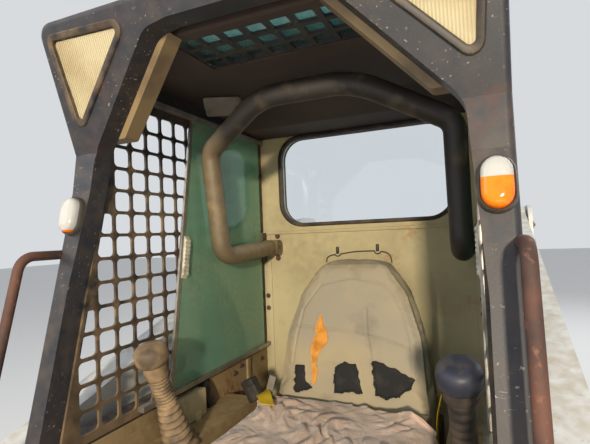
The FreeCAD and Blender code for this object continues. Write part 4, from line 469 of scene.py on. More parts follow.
def block(bm, low, high, bevel=0.003, turn=None, about=None, material=0):
    """A bevelled block between two corners, turned about a point if that is given."""
    made_here = bmesh.ops.create_cube(bm, size=1.0)["verts"]
    low, high = Vector(low), Vector(high)
    for v in made_here:
        v.co = Vector((low[i] + (v.co[i] + 0.5) * (high[i] - low[i]) for i in range(3)))
    if turn is not None:
        bmesh.ops.rotate(bm, verts=made_here, cent=Vector(about or (low + high) / 2), matrix=turn)
    edges = list({e for v in made_here for e in v.link_edges})
    for f in {f for v in made_here for f in v.link_faces}:
        f.material_index = material
    bmesh.ops.bevel(bm, geom=edges, offset=bevel, segments=2, profile=0.6, affect="EDGES", clamp_overlap=True)


def prism(bm, outline, along, bevel=0.0, material=0):
    """A flat outline of points, carried along a vector, with its edges bevelled."""
    along = Vector(along)
    low = [bm.verts.new(p) for p in outline]
    high = [bm.verts.new(Vector(p) + along) for p in outline]
    faces = [bm.faces.new(low), bm.faces.new(high[::-1])]
    for i in range(len(low)):
        j = (i + 1) % len(low)
        faces.append(bm.faces.new((low[j], low[i], high[i], high[j])))
    for f in faces:
        f.material_index = material
    if bevel:
        edges = list({e for f in faces for e in f.edges})
        bmesh.ops.bevel(bm, geom=edges, offset=bevel, segments=2, profile=0.6, affect="EDGES", clamp_overlap=True)


def bolt(bm, place, axis, size=0.010, material=0):
    """A washer and a six-sided head with a small chamfer."""
    axis = Vector(axis).normalized()
    turned(bm, [(size * 1.25, -0.0004), (size * 1.25, size * 0.16), (size * 1.1, size * 0.2)], place, axis, 18, material)
    turned(bm, [(size * 0.86, size * 0.16), (size * 0.86, size * 0.72), (size * 0.7, size * 0.86)], place, axis, 6,
           material)


def rounded(corners, radius, steps=5):
    """Corner points in a plane, each as an arc of that radius."""
    points = []
    count = len(corners)
    for i in range(count):
        here = Vector(corners[i])
        before = (Vector(corners[i - 1]) - here).normalized()
        after = (Vector(corners[(i + 1) % count]) - here).normalized()
        half = before.angle(after) / 2
        reach = radius / math.tan(half)
        centre = here + (before + after).normalized() * (radius / math.sin(half))
        first = here + before * reach - centre
        last = here + after * reach - centre
        for k in range(steps + 1):
            points.append(centre + first.slerp(last, k / steps).normalized() * radius)
    return points


def grown(corners, width):
    """The corners of a convex outline, moved outward by a width. The outline goes round once, either way."""
    middle = sum((Vector(c) for c in corners), Vector((0, 0))) / len(corners)
    lines = []
    for i in range(len(corners)):
        a, b = Vector(corners[i]), Vector(corners[(i + 1) % len(corners)])
        run = (b - a).normalized()
        face = Vector((run.y, -run.x))
        if face.dot(a - middle) < 0:
            face = -face
        lines.append((a + face * width, run))
    out = []
    for i in range(len(corners)):
        (a, u), (b, v) = lines[i - 1], lines[i]
        t = (b - a).cross(v) / u.cross(v)
        out.append(a + u * t)
    return out


def oval(width, height, steps=10):
    """A standing stadium outline round 0, 0."""
    r, s = width / 2, height / 2 - width / 2
    upper = [(r * math.cos(a), s + r * math.sin(a)) for a in (math.pi * i / steps for i in range(steps + 1))]
    return upper + [(-x, -z) for x, z in upper]


def pipe(name, points, radius, finish, body, cyclic=False):
    """A bent rigid pipe or bead on a smooth line."""
    data = bpy.data.curves.new(name, "CURVE")
    data.dimensions = "3D"
    line = data.splines.new("NURBS")
    line.points.add(len(points) - 1)
    for point, place in zip(line.points, points):
        point.co = (*place, 1)
    line.order_u = 3
    line.use_endpoint_u = not cyclic
    line.use_cyclic_u = cyclic
    line.resolution_u = 6
    data.bevel_depth = radius
    data.bevel_resolution = 4
    data.use_fill_caps = True
    data.materials.append(finish.material)
    piece = bpy.data.objects.new(name, data)
    bpy.context.scene.collection.objects.link(piece)
    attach(piece, body)
    return piece


def lamp_bezels():
    """Black trims round the headlamps."""
    bm = bmesh.new()
    for side in SIDES:
        loops = []
        for width, radius, out in ((0.014, 0.022, -0.001), (0.0135, 0.0215, 0.003), (0.011, 0.019, 0.0052),
                                   (0.003, 0.012, 0.0052), (0.0002, 0.0095, 0.003), (-0.0012, 0.0085, -0.0065)):
            flat = rounded(grown(LAMP_CORNERS, width), radius)
            loops.append([front_point(side * p.x, p.y, out) for p in flat])
        lofted(bm, loops)
    made("lamp_bezels", bm, screen_black, "chassis")


def marker_lamps():
    """Oval side markers: a pressed rim, and a domed lens in clear and amber."""
    bm = bmesh.new()
    along = Vector((0, 0.0244, 0.1)).normalized()
    for side in SIDES:
        lenses = bmesh.new()
        base = front_point(side * 0.449, 1.509)

        def ring(scale_w, scale_h, out):
            face = Vector((0, -along.z, along.y))
            return [base + Vector((x * scale_w, 0, 0)) + along * (z * scale_h) + face * out
                    for x, z in oval(0.056, 0.092)]

        lofted(bm, [ring(1.02, 1.01, -0.003), ring(1.02, 1.01, 0.006), ring(0.98, 0.985, 0.0125),
                    ring(0.92, 0.945, 0.0145), ring(0.86, 0.905, 0.0125), ring(0.84, 0.89, 0.004)],
               cap_first=True)
        lofted(lenses, [ring(0.85, 0.895, 0.006), ring(0.84, 0.89, 0.018), ring(0.78, 0.85, 0.0245),
                                ring(0.62, 0.74, 0.0285), ring(0.4, 0.5, 0.0298), ring(0.15, 0.2, 0.030)],
                       cap_last=True)
        amber_from = base.z + (0.012 if side > 0 else -0.030)
        bmesh.ops.bisect_plane(lenses, geom=list(lenses.verts) + list(lenses.edges) + list(lenses.faces),
                               dist=0.00001, plane_co=(0, 0, amber_from), plane_no=(0, 0, 1))
        for f in lenses.faces:
            f.material_index = 1 if f.calc_center_median().z < amber_from else 0
        made("marker_lens_" + ("left" if side < 0 else "right"), lenses, [lens_clear, amber_lens], "chassis",
             60)
    rims = made("marker_rims", bm, marker_metal, "chassis")
    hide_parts("marker_lamps")


def levers():
    """Steering levers: a boot on the console, a ribbed grip and a mushroom head."""
    for side, (x, y, z) in LEVER_HEADS.items():
        pivot = Vector((x, *LEVER_PIVOT))
        head = Vector((x, y, z))
        length = (head - pivot).length
        axis = (head - pivot).normalized()
        neck = length - 0.022
        profile = [(0.011, -0.004), (0.011, 0.155), (0.020, 0.157)]
        ribs = 9 if side == "left" else 6
        first, last = 0.160, neck - (0.046 if side == "left" else 0.030)
        for k in range(ribs):
            s = first + (last - first) * k / ribs
            step = (last - first) / ribs
            profile += [(0.0228, s), (0.0252, s + step * 0.3), (0.0252, s + step * 0.62), (0.0226, s + step * 0.85)]
        if side == "left":
            profile += [(0.0262, last), (0.0290, last + 0.006), (0.0300, last + 0.034), (0.0275, neck - 0.004)]
        else:
            profile += [(0.0240, last), (0.0330, last + 0.004), (0.0345, last + 0.010), (0.0330, last + 0.017),
                        (0.0250, last + 0.021), (0.0250, neck - 0.003)]
        for up, radius in ((-0.001, 0.0300), (0.0, 0.0370), (0.004, 0.0402), (0.012, 0.0418), (0.024, 0.0418),
                           (0.034, 0.0400), (0.041, 0.0350), (0.0452, 0.0260), (0.0468, 0.0130), (0.0472, 0.001)):
            profile.append((radius, neck + up))
        bm = bmesh.new()
        turned(bm, profile, pivot, axis, 40)
        turned(bm, [(0.021, -0.0165), (0.022, -0.0155), (0.022, 0.0155), (0.021, 0.0165)], pivot, (1, 0, 0), 24)
        bm.normal_update()
        skin, knob = (lever_rubber, lever_rubber) if side == "left" else (boot_rubber, head_navy)
        for f in bm.faces:
            f.material_index = 1 if (f.calc_center_median() - pivot).dot(axis) > neck - 0.002 else 0
        whole = made("lever_%s" % side, bm, [skin, knob], "steering_lever_" + side, 50)
        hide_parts("steering_lever_" + side)
        boot = bmesh.new()
        rows = [(0.052, 0.0335), (0.052, 0.0385), (0.047, 0.0420)]
        for k in range(6):
            s = 0.046 + 0.019 * k
            r = 0.042 - 0.0026 * k
            rows += [(r - 0.007, s), (r, s + 0.0075), (r - 0.001, s + 0.0105), (r - 0.008, s + 0.018)]
        rows += [(0.0255, 0.160), (0.0262, 0.170), (0.0236, 0.172)]
        loops = []
        other = Vector((1, 0, 0)).cross(axis)
        for radius, s in rows:
            lie = max(0.0, min(1.0, (s - 0.036) / 0.02))
            up = axis.lerp(Vector((0, 0, 1)), 1 - lie)
            centre = pivot + axis * s
            flat = other.lerp(Vector((0, 1, 0)) * (1 if other.y > 0 else -1), 1 - lie).normalized()
            loops.append([centre + Vector((1, 0, 0)) * radius * math.cos(a) + flat * radius * math.sin(a)
                          for a in (math.tau * i / 36 for i in range(36))])
        lofted(boot, loops)
        piece = made("lever_boot_%s" % side, boot, skin, None, 60)
        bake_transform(piece)


def swell(piece, cap, pressure, rest):
    """Swell a remeshed piece with the cloth solver, and hold every point within cap of where it began."""
    mod = piece.modifiers.new("cloth", "CLOTH")
    mod.settings.quality = 5
    mod.settings.mass = 0.3
    mod.settings.use_pressure = True
    mod.settings.uniform_pressure_force = pressure
    mod.settings.tension_stiffness = 12
    mod.settings.compression_stiffness = 12
    mod.settings.shear_stiffness = 6
    mod.settings.bending_stiffness = 0.4
    mod.settings.effector_weights.gravity = 0
    mod.point_cache.frame_start = 1
    mod.point_cache.frame_end = 20
    scene = bpy.context.scene
    for number in range(1, 21):
        scene.frame_set(number)
    shape = piece.evaluated_get(bpy.context.evaluated_depsgraph_get()).data
    moved = [v.co.copy() for v in shape.vertices]
    piece.modifiers.remove(mod)
    scene.frame_set(1)
    for v, new, start in zip(piece.data.vertices, moved, rest):
        shift = new - start
        if shift.length > cap:
            shift *= cap / shift.length
        v.co = start + shift


def swollen(name, node, shrink, voxel, cap, pressure=4.0):
    """A soft copy of a CAD solid: a slightly smaller start, remeshed, swelled, and smoothed once."""
    bm = bmesh.new()
    bm.from_mesh(NODE[node].data)
    bm.transform(NODE[node].matrix_world)
    bmesh.ops.remove_doubles(bm, verts=bm.verts, dist=0.00002)
    bm.normal_update()
    mesh = bpy.data.meshes.new(name)
    bm.to_mesh(mesh)
    bm.free()
    piece = bpy.data.objects.new(name, mesh)
    bpy.context.scene.collection.objects.link(piece)
    remesh = piece.modifiers.new("remesh", "REMESH")
    remesh.mode = "VOXEL"
    remesh.voxel_size = voxel
    fresh = bpy.data.meshes.new_from_object(piece.evaluated_get(bpy.context.evaluated_depsgraph_get()))
    piece.modifiers.clear()
    piece.data = fresh
    for v, face in zip(fresh.vertices, [n.vector.copy() for n in fresh.vertex_normals]):
        v.co -= face * shrink
    swell(piece, cap, pressure, [v.co.copy() for v in fresh.vertices])
    bm = bmesh.new()
    bm.from_mesh(piece.data)
    bmesh.ops.smooth_vert(bm, verts=bm.verts, factor=0.5, use_axis_x=True, use_axis_y=True, use_axis_z=True)
    bm.to_mesh(piece.data)
    bm.free()
    return piece


def subdivided(piece):
    mod = piece.modifiers.new("subdivision", "SUBSURF")
    mod.levels = 1
    mod.render_levels = 1
    fine = bpy.data.meshes.new_from_object(piece.evaluated_get(bpy.context.evaluated_depsgraph_get()))
    piece.modifiers.clear()
    piece.data = fine
    fine.shade_smooth()


def inside(x, z, outline):
    """True where the point is inside the outline."""
    hit = False
    for (x_a, z_a), (x_b, z_b) in zip(outline, outline[1:] + outline[:1]):
        if (z_a > z) != (z_b > z) and x < (x_b - x_a) * (z - z_a) / (z_b - z_a) + x_a:
            hit = not hit
    return hit


def edge_distance(x, z, outline):
    """How far the point is from the outline's nearest edge."""
    best = 1.0
    here = Vector((x, z))
    for a, b in zip(outline, outline[1:] + outline[:1]):
        a, b = Vector(a), Vector(b)
        run = b - a
        share = max(0.0, min(1.0, (here - a).dot(run) / run.length_squared))
        best = min(best, (a + run * share - here).length)
    return best


def ragged(outline, seed, reach=0.004, step=0.011):
    """An outline with a torn, uneven edge."""
    draw = random.Random(seed)
    points = []
    for a, b in zip(outline, outline[1:] + outline[:1]):
        a, b = Vector(a), Vector(b)
        parts = max(1, int((b - a).length / step))
        side = Vector((-(b - a).y, (b - a).x)).normalized()
        for k in range(parts):
            points.append(tuple(a.lerp(b, k / parts) + side * draw.uniform(-reach, reach)))
    return points


TEARS = (
    (((-0.106, 1.172), (-0.096, 1.140), (-0.078, 1.112), (-0.077, 1.086), (-0.098, 1.052), (-0.112, 1.030),
      (-0.111, 0.952), (-0.126, 0.946), (-0.132, 0.985), (-0.134, 1.064), (-0.122, 1.110), (-0.114, 1.146)),
     1, 0.002),
    (((-0.190, 1.004), (-0.150, 1.004), (-0.150, 0.955), (-0.122, 0.938), (-0.172, 0.918), (-0.190, 0.921)), 2, -0.010),
    (((-0.050, 1.006), (-0.014, 1.024), (0.026, 1.022), (0.034, 0.985), (0.048, 0.936), (-0.046, 0.930)), 2, -0.012),
    (((0.076, 1.036), (0.148, 1.016), (0.213, 0.986), (0.196, 0.962), (0.163, 0.938), (0.126, 0.925),
      (0.088, 0.933), (0.080, 0.965)), 2, -0.012),
)
SEAMS = (((-0.205, 1.130), (-0.110, 1.126), (0.010, 1.118), (0.110, 1.100), (0.190, 1.076)),
         ((0.052, 1.190), (0.056, 1.120), (0.072, 1.040)),
         ((-0.135, 0.945), (-0.118, 1.010), (-0.052, 1.020)),
         ((-0.20, 1.01), (-0.19, 1.10), (-0.17, 1.19), (-0.11, 1.27), (0.0, 1.292), (0.11, 1.27), (0.17, 1.19),
          (0.19, 1.10), (0.20, 1.01)))


def seat_back():
    """The backrest: swelled, with sewn seams, and torn open to foam and lining as the real one is."""
    piece = swollen("backrest", "seat_back", 0.006, 0.006, 0.010)
    subdivided(piece)
    piece.data.materials.clear()
    for finish in (vinyl, foam, torn_lining):
        piece.data.materials.append(finish.material)
    bm = bmesh.new()
    bm.from_mesh(piece.data)
    bm.normal_update()
    tears = [(ragged(list(outline), 11 + i), material, depth) for i, (outline, material, depth) in enumerate(TEARS)]
    seams = [[Vector(p) for p in seam] for seam in SEAMS]
    front = [v for v in bm.verts if v.normal.y < -0.35]
    for v in front:
        x, z = v.co.x, v.co.z
        push = 0.0
        for outline, material, depth in tears:
            far = edge_distance(x, z, outline)
            if inside(x, z, outline):
                push += -depth * min(1.0, far / 0.005) if depth < 0 else 0.003 - depth * min(1.0, far / 0.01)
            elif far < 0.006:
                push -= 0.0022 * (1 - far / 0.006)
        for seam in seams:
            near = min((Vector((x, z)) - (a + (b - a) * max(0.0, min(1.0, (Vector((x, z)) - a).dot(b - a)
                                                                     / (b - a).length_squared)))).length
                       for a, b in zip(seam, seam[1:]))
            if near < 0.008:
                push += 0.0035 * (1 - near / 0.008) ** 2
        v.co.y += push
    for f in bm.faces:
        c = f.calc_center_median()
        if f.normal.y > -0.2:
            continue
        for outline, material, depth in tears:
            if inside(c.x, c.z, outline):
                f.material_index = material
    bm.to_mesh(piece.data)
    bm.free()
    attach(piece, "chassis")
    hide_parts("seat_back")


def seat_cushion():
    """The cushion under the cloth."""
    piece = swollen("cushion", "seat_cushion", 0.007, 0.007, 0.008)
    subdivided(piece)
    piece.data.materials.clear()
    piece.data.materials.append(vinyl.material)
    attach(piece, "chassis")
    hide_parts("seat_cushion")


CLOTH_WIDTH = 0.80
CLOTH_LENGTH = 0.62
CLOTH_STEP = 0.0105


def cloth_sheet():
    """A crumpled sheet: folds that keep its length, dropped on the seat by the cloth solver."""
    columns = int(CLOTH_WIDTH / CLOTH_STEP)
    rows = int(CLOTH_LENGTH / CLOTH_STEP)
    mesh = bpy.data.meshes.new("seat_cloth")
    points = []
    draw = random.Random(7)
    bends = [(draw.uniform(0.05, 0.085), draw.uniform(0, math.tau), draw.uniform(-9, 9), draw.uniform(0.5, 1.0))
             for _ in range(4)]
    for j in range(rows + 1):
        t = j * CLOTH_LENGTH / rows
        line = []
        x = z = 0.0
        for i in range(columns + 1):
            s = i * CLOTH_WIDTH / columns
            lean = sum(weight * math.sin(math.tau * s / wave + phase + drift * t * 2.2)
                       for wave, phase, drift, weight in bends)
            lean = max(-1.35, min(1.35, lean * 0.95))
            line.append((x, z))
            x += math.cos(lean) * CLOTH_WIDTH / columns
            z += math.sin(lean) * CLOTH_WIDTH / columns
        middle = line[len(line) // 2]
        tilt = (line[-1][1] - line[0][1]) / (line[-1][0] - line[0][0])
        for a, b in line:
            across = a - (line[0][0] + line[-1][0]) / 2
            points.append((across, t, b - middle[1] - tilt * (a - middle[0])))
    faces = [(j * (columns + 1) + i, j * (columns + 1) + i + 1, (j + 1) * (columns + 1) + i + 1,
              (j + 1) * (columns + 1) + i) for j in range(rows) for i in range(columns)]
    turn = Matrix.Rotation(math.radians(-9), 3, "Z")
    placed = []
    for x, y, z in points:
        p = turn @ Vector((x, y - CLOTH_LENGTH / 2, 0))
        placed.append((p.x - 0.005, p.y + 0.050, 0.975 + z))
    mesh.from_pydata(placed, [], faces)
    piece = bpy.data.objects.new("seat_cloth", mesh)
    bpy.context.scene.collection.objects.link(piece)
    support = bmesh.new()
    block(support, (-0.262, -0.145, 0.60), (0.262, 0.265, 0.9065), 0.03)
    block(support, (-0.262, 0.262, 0.60), (0.262, 0.40, 1.20), 0.02)
    block(support, (-0.6, -0.9, 0.55), (0.6, 0.6, 0.625), 0.005)
    data = bpy.data.meshes.new("support")
    support.to_mesh(data)
    support.free()
    bed = bpy.data.objects.new("support", data)
    bpy.context.scene.collection.objects.link(bed)
    bed.modifiers.new("stop", "COLLISION")
    bed.collision.thickness_outer = 0.004
    bed.collision.cloth_friction = 30
    mod = piece.modifiers.new("cloth", "CLOTH")
    mod.settings.quality = 7
    mod.settings.mass = 0.25
    mod.settings.tension_stiffness = 20
    mod.settings.compression_stiffness = 14
    mod.settings.shear_stiffness = 8
    mod.settings.bending_stiffness = 0.05
    mod.settings.air_damping = 2
    mod.collision_settings.distance_min = 0.003
    mod.collision_settings.use_self_collision = True
    mod.collision_settings.self_distance_min = 0.003
    mod.point_cache.frame_start = 1
    mod.point_cache.frame_end = 34
    for number in range(1, 35):
        bpy.context.scene.frame_set(number)
    shape = piece.evaluated_get(bpy.context.evaluated_depsgraph_get()).data
    moved = [v.co.copy() for v in shape.vertices]
    piece.modifiers.remove(mod)
    for v, new in zip(piece.data.vertices, moved):
        v.co = new
    bpy.data.objects.remove(bed)
    bpy.context.scene.frame_set(1)
    thick = piece.modifiers.new("thickness", "SOLIDIFY")
    thick.thickness = 0.0016
    subdivided(piece)
    piece.data.materials.append(cloth.material)
    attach(piece, "chassis")
    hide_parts("seat_cover")


def strap(bm, points, width, thick, across, material=0):
    """A flat strap through the points, with its width along a direction."""
    across = Vector(across).normalized()
    line = [Vector(p) for p in points]
    loops = []
    for i, p in enumerate(line):
        run = (line[min(i + 1, len(line) - 1)] - line[max(i - 1, 0)]).normalized()
        side = (across - run * across.dot(run)).normalized()
        face = run.cross(side)
        loops.append([p + side * width / 2 + face * thick / 2, p - side * width / 2 + face * thick / 2,
                      p - side * width / 2 - face * thick / 2, p + side * width / 2 - face * thick / 2])
    lofted(bm, loops, cap_first=True, cap_last=True, material=material)


def smooth_line(points, steps=6):
    """More points between the given ones, on a smooth line."""
    line = [Vector(p) for p in points]
    out = []
    for i in range(len(line) - 1):
        a, b, c, d = line[max(i - 1, 0)], line[i], line[i + 1], line[min(i + 2, len(line) - 1)]
        for k in range(steps):
            t = k / steps
            out.append(0.5 * ((2 * b) + (c - a) * t + (2 * a - 5 * b + 4 * c - d) * t * t
                              + (3 * b - a - 3 * c + d) * t ** 3))
    return out + [line[-1]]


def belts():
    """Yellow belt halves beside the seat, with a buckle on the left one."""
    left = smooth_line([(-0.272, 0.218, 0.620), (-0.273, 0.220, 0.80), (-0.272, 0.215, 0.895), (-0.262, 0.190, 0.935),
                        (-0.236, 0.150, 0.945), (-0.205, 0.110, 0.935)])
    right = smooth_line([(0.274, 0.218, 0.620), (0.276, 0.220, 0.80), (0.279, 0.215, 0.905), (0.291, 0.205, 0.965),
                         (0.303, 0.198, 1.010), (0.300, 0.178, 1.000)])
    bm = bmesh.new()
    strap(bm, left, 0.046, 0.003, (0, 1, 0))
    strap(bm, right, 0.046, 0.003, (0, 1, -0.2))
    straps = made("belt_straps", bm, webbing, "chassis", 60)
    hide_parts("seat_belt")
    bm = bmesh.new()
    turn = Matrix.Rotation(math.radians(-28), 3, "Y")
    block(bm, (-0.318, 0.165, 0.912), (-0.270, 0.200, 0.985), 0.007, turn)
    block(bm, (-0.309, 0.159, 0.965), (-0.281, 0.172, 0.985), 0.003, turn)
    made("belt_buckle", bm, trim_dark, "chassis")
    bm = bmesh.new()
    strap(bm, smooth_line([(-0.250, 0.205, 0.900), (-0.240, 0.196, 0.945), (-0.222, 0.190, 0.995)]), 0.022, 0.004,
          (1, 0, 0.4))
    made("belt_stalk", bm, trim_grey, "chassis", 60)


def rear_wall_details():
    """What is fixed on the cab's rear wall: gasket, ledge, hooks and bead, and the bolts of the brackets."""
    wall = REAR_WALL_Y
    corners = ((-0.330, 1.493), (-0.330, 1.838), (0.330, 1.838), (0.330, 1.493))
    bm = bmesh.new()
    loops = []
    for width, radius, out in ((0.014, 0.098, 0.001), (0.013, 0.097, -0.006), (0.006, 0.090, -0.009),
                               (-0.001, 0.083, -0.006), (-0.002, 0.082, 0.012)):
        loops.append([(p.x, wall + out, p.y) for p in rounded(grown(corners, width), radius, 8)])
    lofted(bm, loops)
    made("window_gasket", bm, boot_rubber, "chassis", 60)
    bm = bmesh.new()
    block(bm, (-0.428, wall - 0.007, 1.452), (0.428, wall + 0.001, 1.464), 0.003)
    prism(bm, [(-0.428, wall + 0.001, 0.66), (-0.392, wall + 0.001, 0.66), (-0.392, wall + 0.001, 1.448),
               (-0.428, wall + 0.001, 1.448)], (0, -0.005, 0), 0.002)
    prism(bm, [(0.392, wall + 0.001, 0.66), (0.428, wall + 0.001, 0.66), (0.428, wall + 0.001, 1.448),
               (0.392, wall + 0.001, 1.448)], (0, -0.005, 0), 0.002)
    made("wall_ledge", bm, wall_tan, "chassis")
    bm = bmesh.new()
    for side in SIDES:
        for z in (1.42, 1.37, 1.20, 1.15):
            bolt(bm, (side * 0.411, wall - 0.004, z), (0, -1, 0), 0.008)
        for z in (1.355, 1.445):
            bolt(bm, (side * 0.360, wall - 0.001, z), (0, -1, 0), 0.009)
    made("wall_bolts", bm, rusty_steel, "chassis")
    bead = smooth_line([(-0.149, wall - 0.004, 1.335), (-0.146, wall - 0.004, 1.352), (-0.130, wall - 0.004, 1.361),
                        (-0.113, wall - 0.004, 1.364)], 3)
    other = smooth_line([(0.066, wall - 0.004, 1.372), (0.083, wall - 0.004, 1.369), (0.098, wall - 0.004, 1.360),
                         (0.104, wall - 0.004, 1.346), (0.106, wall - 0.004, 1.328)], 3)
    middle = smooth_line([(-0.090, wall - 0.004, 1.366), (-0.03, wall - 0.004, 1.374), (0.044, wall - 0.004, 1.375)], 3)
    for number, line in enumerate((bead, middle, other)):
        pipe("wall_bead_%d" % number, line, 0.0022, trim_dark, "chassis")
    bm = bmesh.new()
    for x, z in ((-0.102, 1.372), (0.055, 1.378)):
        block(bm, (x - 0.005, wall - 0.012, z - 0.004), (x + 0.005, wall + 0.001, z + 0.022), 0.002)
        lofted(bm, [[(x + (0.012 + r) * math.cos(a), wall - 0.005 + d, z - 0.004 + (0.010 + r) * math.sin(a))
                     for r, d in ((0.002, 0), (0, 0.002), (-0.002, 0), (0, -0.002))]
                    for a in (math.pi + math.pi * k / 10 for k in range(11))], cap_first=True, cap_last=True)
    made("wall_hooks", bm, trim_dark, "chassis", 60)


def cab_back_panel():
    """The painted outer skin of the cab's rear wall, with a rubber strip round the window."""
    bm = bmesh.new()
    window = ((-0.330, 1.493), (-0.330, 1.838), (0.330, 1.838), (0.330, 1.493))
    edge = ((-0.428, 0.640), (-0.428, 1.902), (0.428, 1.902), (0.428, 0.640))
    loops = []
    for corners, width, radius, y in ((edge, 0.0, 0.012, 0.5845), (edge, 0.0, 0.012, 0.5875),
                                      (edge, -0.002, 0.010, 0.589), (window, 0.006, 0.090, 0.589),
                                      (window, 0.004, 0.088, 0.5875), (window, 0.004, 0.088, 0.5845)):
        loops.append([(p.x, y, p.y) for p in rounded(grown(corners, width), radius, 8)])
    lofted(bm, loops)
    made("cab_back_panel", bm, cab_black, "chassis")
    bm = bmesh.new()
    loops = []
    for width, radius, y in ((0.015, 0.099, 0.5885), (0.013, 0.097, 0.594), (0.006, 0.090, 0.596),
                             (-0.001, 0.083, 0.594), (-0.002, 0.082, 0.578)):
        loops.append([(p.x, y, p.y) for p in rounded(grown(window, width), radius, 8)])
    lofted(bm, loops)
    made("window_gasket_rear", bm, boot_rubber, "chassis", 60)


def side_wall_details():
    """Below and beside the side panes: tan plates, a black guard strip, the bright front edge and its latch."""
    for side in SIDES:
        word = "left" if side < 0 else "right"
        x = side * INNER_X
        inward = Vector((-side, 0, 0))
        bm = bmesh.new()
        plate = ((0.118, 0.632), (0.118, 0.960), (0.140, 0.990), (0.548, 0.990), (0.548, 0.632))
        prism(bm, [(x - side * -0.001, y, z) for y, z in plate], inward * 0.006, 0.002)
        prism(bm, [(x, y, z) for y, z in ((0.372, 0.80), (0.372, 0.985), (0.398, 0.985), (0.398, 0.80))],
              inward * 0.012, 0.003)
        prism(bm, [(x, y, z) for y, z in ((-0.360, 0.632), (-0.345, 0.985), (0.040, 0.985), (0.040, 0.632))],
              inward * 0.005, 0.002)
        made("side_plate_" + word, bm, panel_brown, "chassis")
        bm = bmesh.new()
        for y, z in ((0.288, 0.957), (0.335, 0.972), (0.300, 0.835), (0.500, 0.955), (0.500, 0.70), (-0.31, 0.94),
                     (-0.05, 0.94)):
            bolt(bm, (x - side * 0.0055, y, z), inward, 0.0075)
        made("side_bolts_" + word, bm, rusty_steel, "chassis")
        bm = bmesh.new()
        curve = smooth_line([(x - side * 0.016, 0.082, 0.985), (x - side * 0.018, 0.110, 0.930),
                             (x - side * 0.018, 0.134, 0.850), (x - side * 0.018, 0.146, 0.760),
                             (x - side * 0.018, 0.150, 0.640)])
        strap(bm, curve, 0.034, 0.010, (0, 1, 0.2))
        made("guard_strip_" + word, bm, boot_rubber, "chassis", 50)
        bm = bmesh.new()
        glass_x = side * (INNER_X - 0.006 - 0.004 - 0.0025)
        low, top = Vector((glass_x, -0.075, 1.016)), Vector((glass_x, 0.065, 1.825))
        run = (top - low).normalized()
        lean = Vector((0, run.z, -run.y))
        edge = [low - lean * 0.004, low + lean * 0.011, top + lean * 0.011, top - lean * 0.004]
        prism(bm, [p - inward * 0.0042 for p in edge], inward * 0.0084, 0.0015)
        made("glass_edge_" + word, bm, aluminium, "chassis")
        bm = bmesh.new()
        for k in range(9):
            p = low + run * (0.335 + 0.0125 * k) + lean * 0.020 + inward * 0.0028
            turned(bm, [(0.0075, -0.012), (0.009, -0.011), (0.009, 0.011), (0.0075, 0.012)], p, lean, 10)
        centre = low + run * 0.385 + lean * 0.020 + inward * 0.004
        block(bm, centre - Vector((0.0022, 0.013, 0.064)), centre + Vector((0.0022, 0.013, 0.064)), 0.002,
              Matrix.Rotation(math.atan2(lean.z, lean.y), 3, "X"))
        made("latch_" + word, bm, trim_pale, "chassis")
    bm = bmesh.new()
    block(bm, (-0.427, -0.075, 0.9055), (-0.390, 0.062, 0.986), 0.006)
    block(bm, (-0.4275, 0.000, 0.9055), (-0.380, 0.020, 0.930), 0.003)
    made("console_riser", bm, wall_tan, "chassis")


def lining_details():
    """A plain plate on a small wedge in the lining's corner, with two screws."""
    bm = bmesh.new()
    corners = [(-0.058, -0.040), (-0.058, 0.040), (0.058, 0.040), (0.058, -0.040)]
    turn = Matrix.Rotation(math.radians(24), 3, "Z")
    tilt = turn @ Matrix.Rotation(math.radians(-30), 3, "X")
    place = Vector((-0.322, 0.110, 1.8856))
    base = [place + turn @ Vector((p.x, p.y, 0)) for p in rounded(corners, 0.010)]
    loops = [base]
    for width, radius, low in ((0.0, 0.010, -0.028), (-0.003, 0.008, -0.031), (-0.010, 0.006, -0.031),
                               (-0.012, 0.005, -0.029)):
        loops.append([place + tilt @ Vector((p.x, p.y, low)) for p in rounded(grown(corners, width), radius)])
    lofted(bm, loops, cap_last=True)
    for x in (-0.040, 0.040):
        turned(bm, [(0.005, 0.0), (0.005, 0.002), (0.003, 0.003)], place + tilt @ Vector((x, 0, -0.029)),
               tilt @ Vector((0, 0, -1)), 14)
    made("lining_plate", bm, trim_grey, "chassis")


def islands(node):
    """The boxes of a CAD node's separate solids, as (low, high), from low x to high x."""
    bm = bmesh.new()
    bm.from_mesh(NODE[node].data)
    bm.transform(NODE[node].matrix_world)
    bmesh.ops.remove_doubles(bm, verts=bm.verts, dist=0.00002)
    left = set(bm.verts)
    boxes = []
    while left:
        stack = [left.pop()]
        group = []
        while stack:
            v = stack.pop()
            group.append(v.co.copy())
            for e in v.link_edges:
                other = e.other_vert(v)
                if other in left:
                    left.remove(other)
                    stack.append(other)
        boxes.append((Vector((min(p[i] for p in group) for i in range(3))),
                      Vector((max(p[i] for p in group) for i in range(3)))))
    bm.free()
    return sorted(boxes, key=lambda pair: pair[0].x)


def on_arm(y, drop):
    """The height of a point that far below the lift arm's middle line."""
    return LIFT_PIVOT[1] - (LIFT_PIVOT[0] - y) * math.tan(math.radians(17.5)) - drop


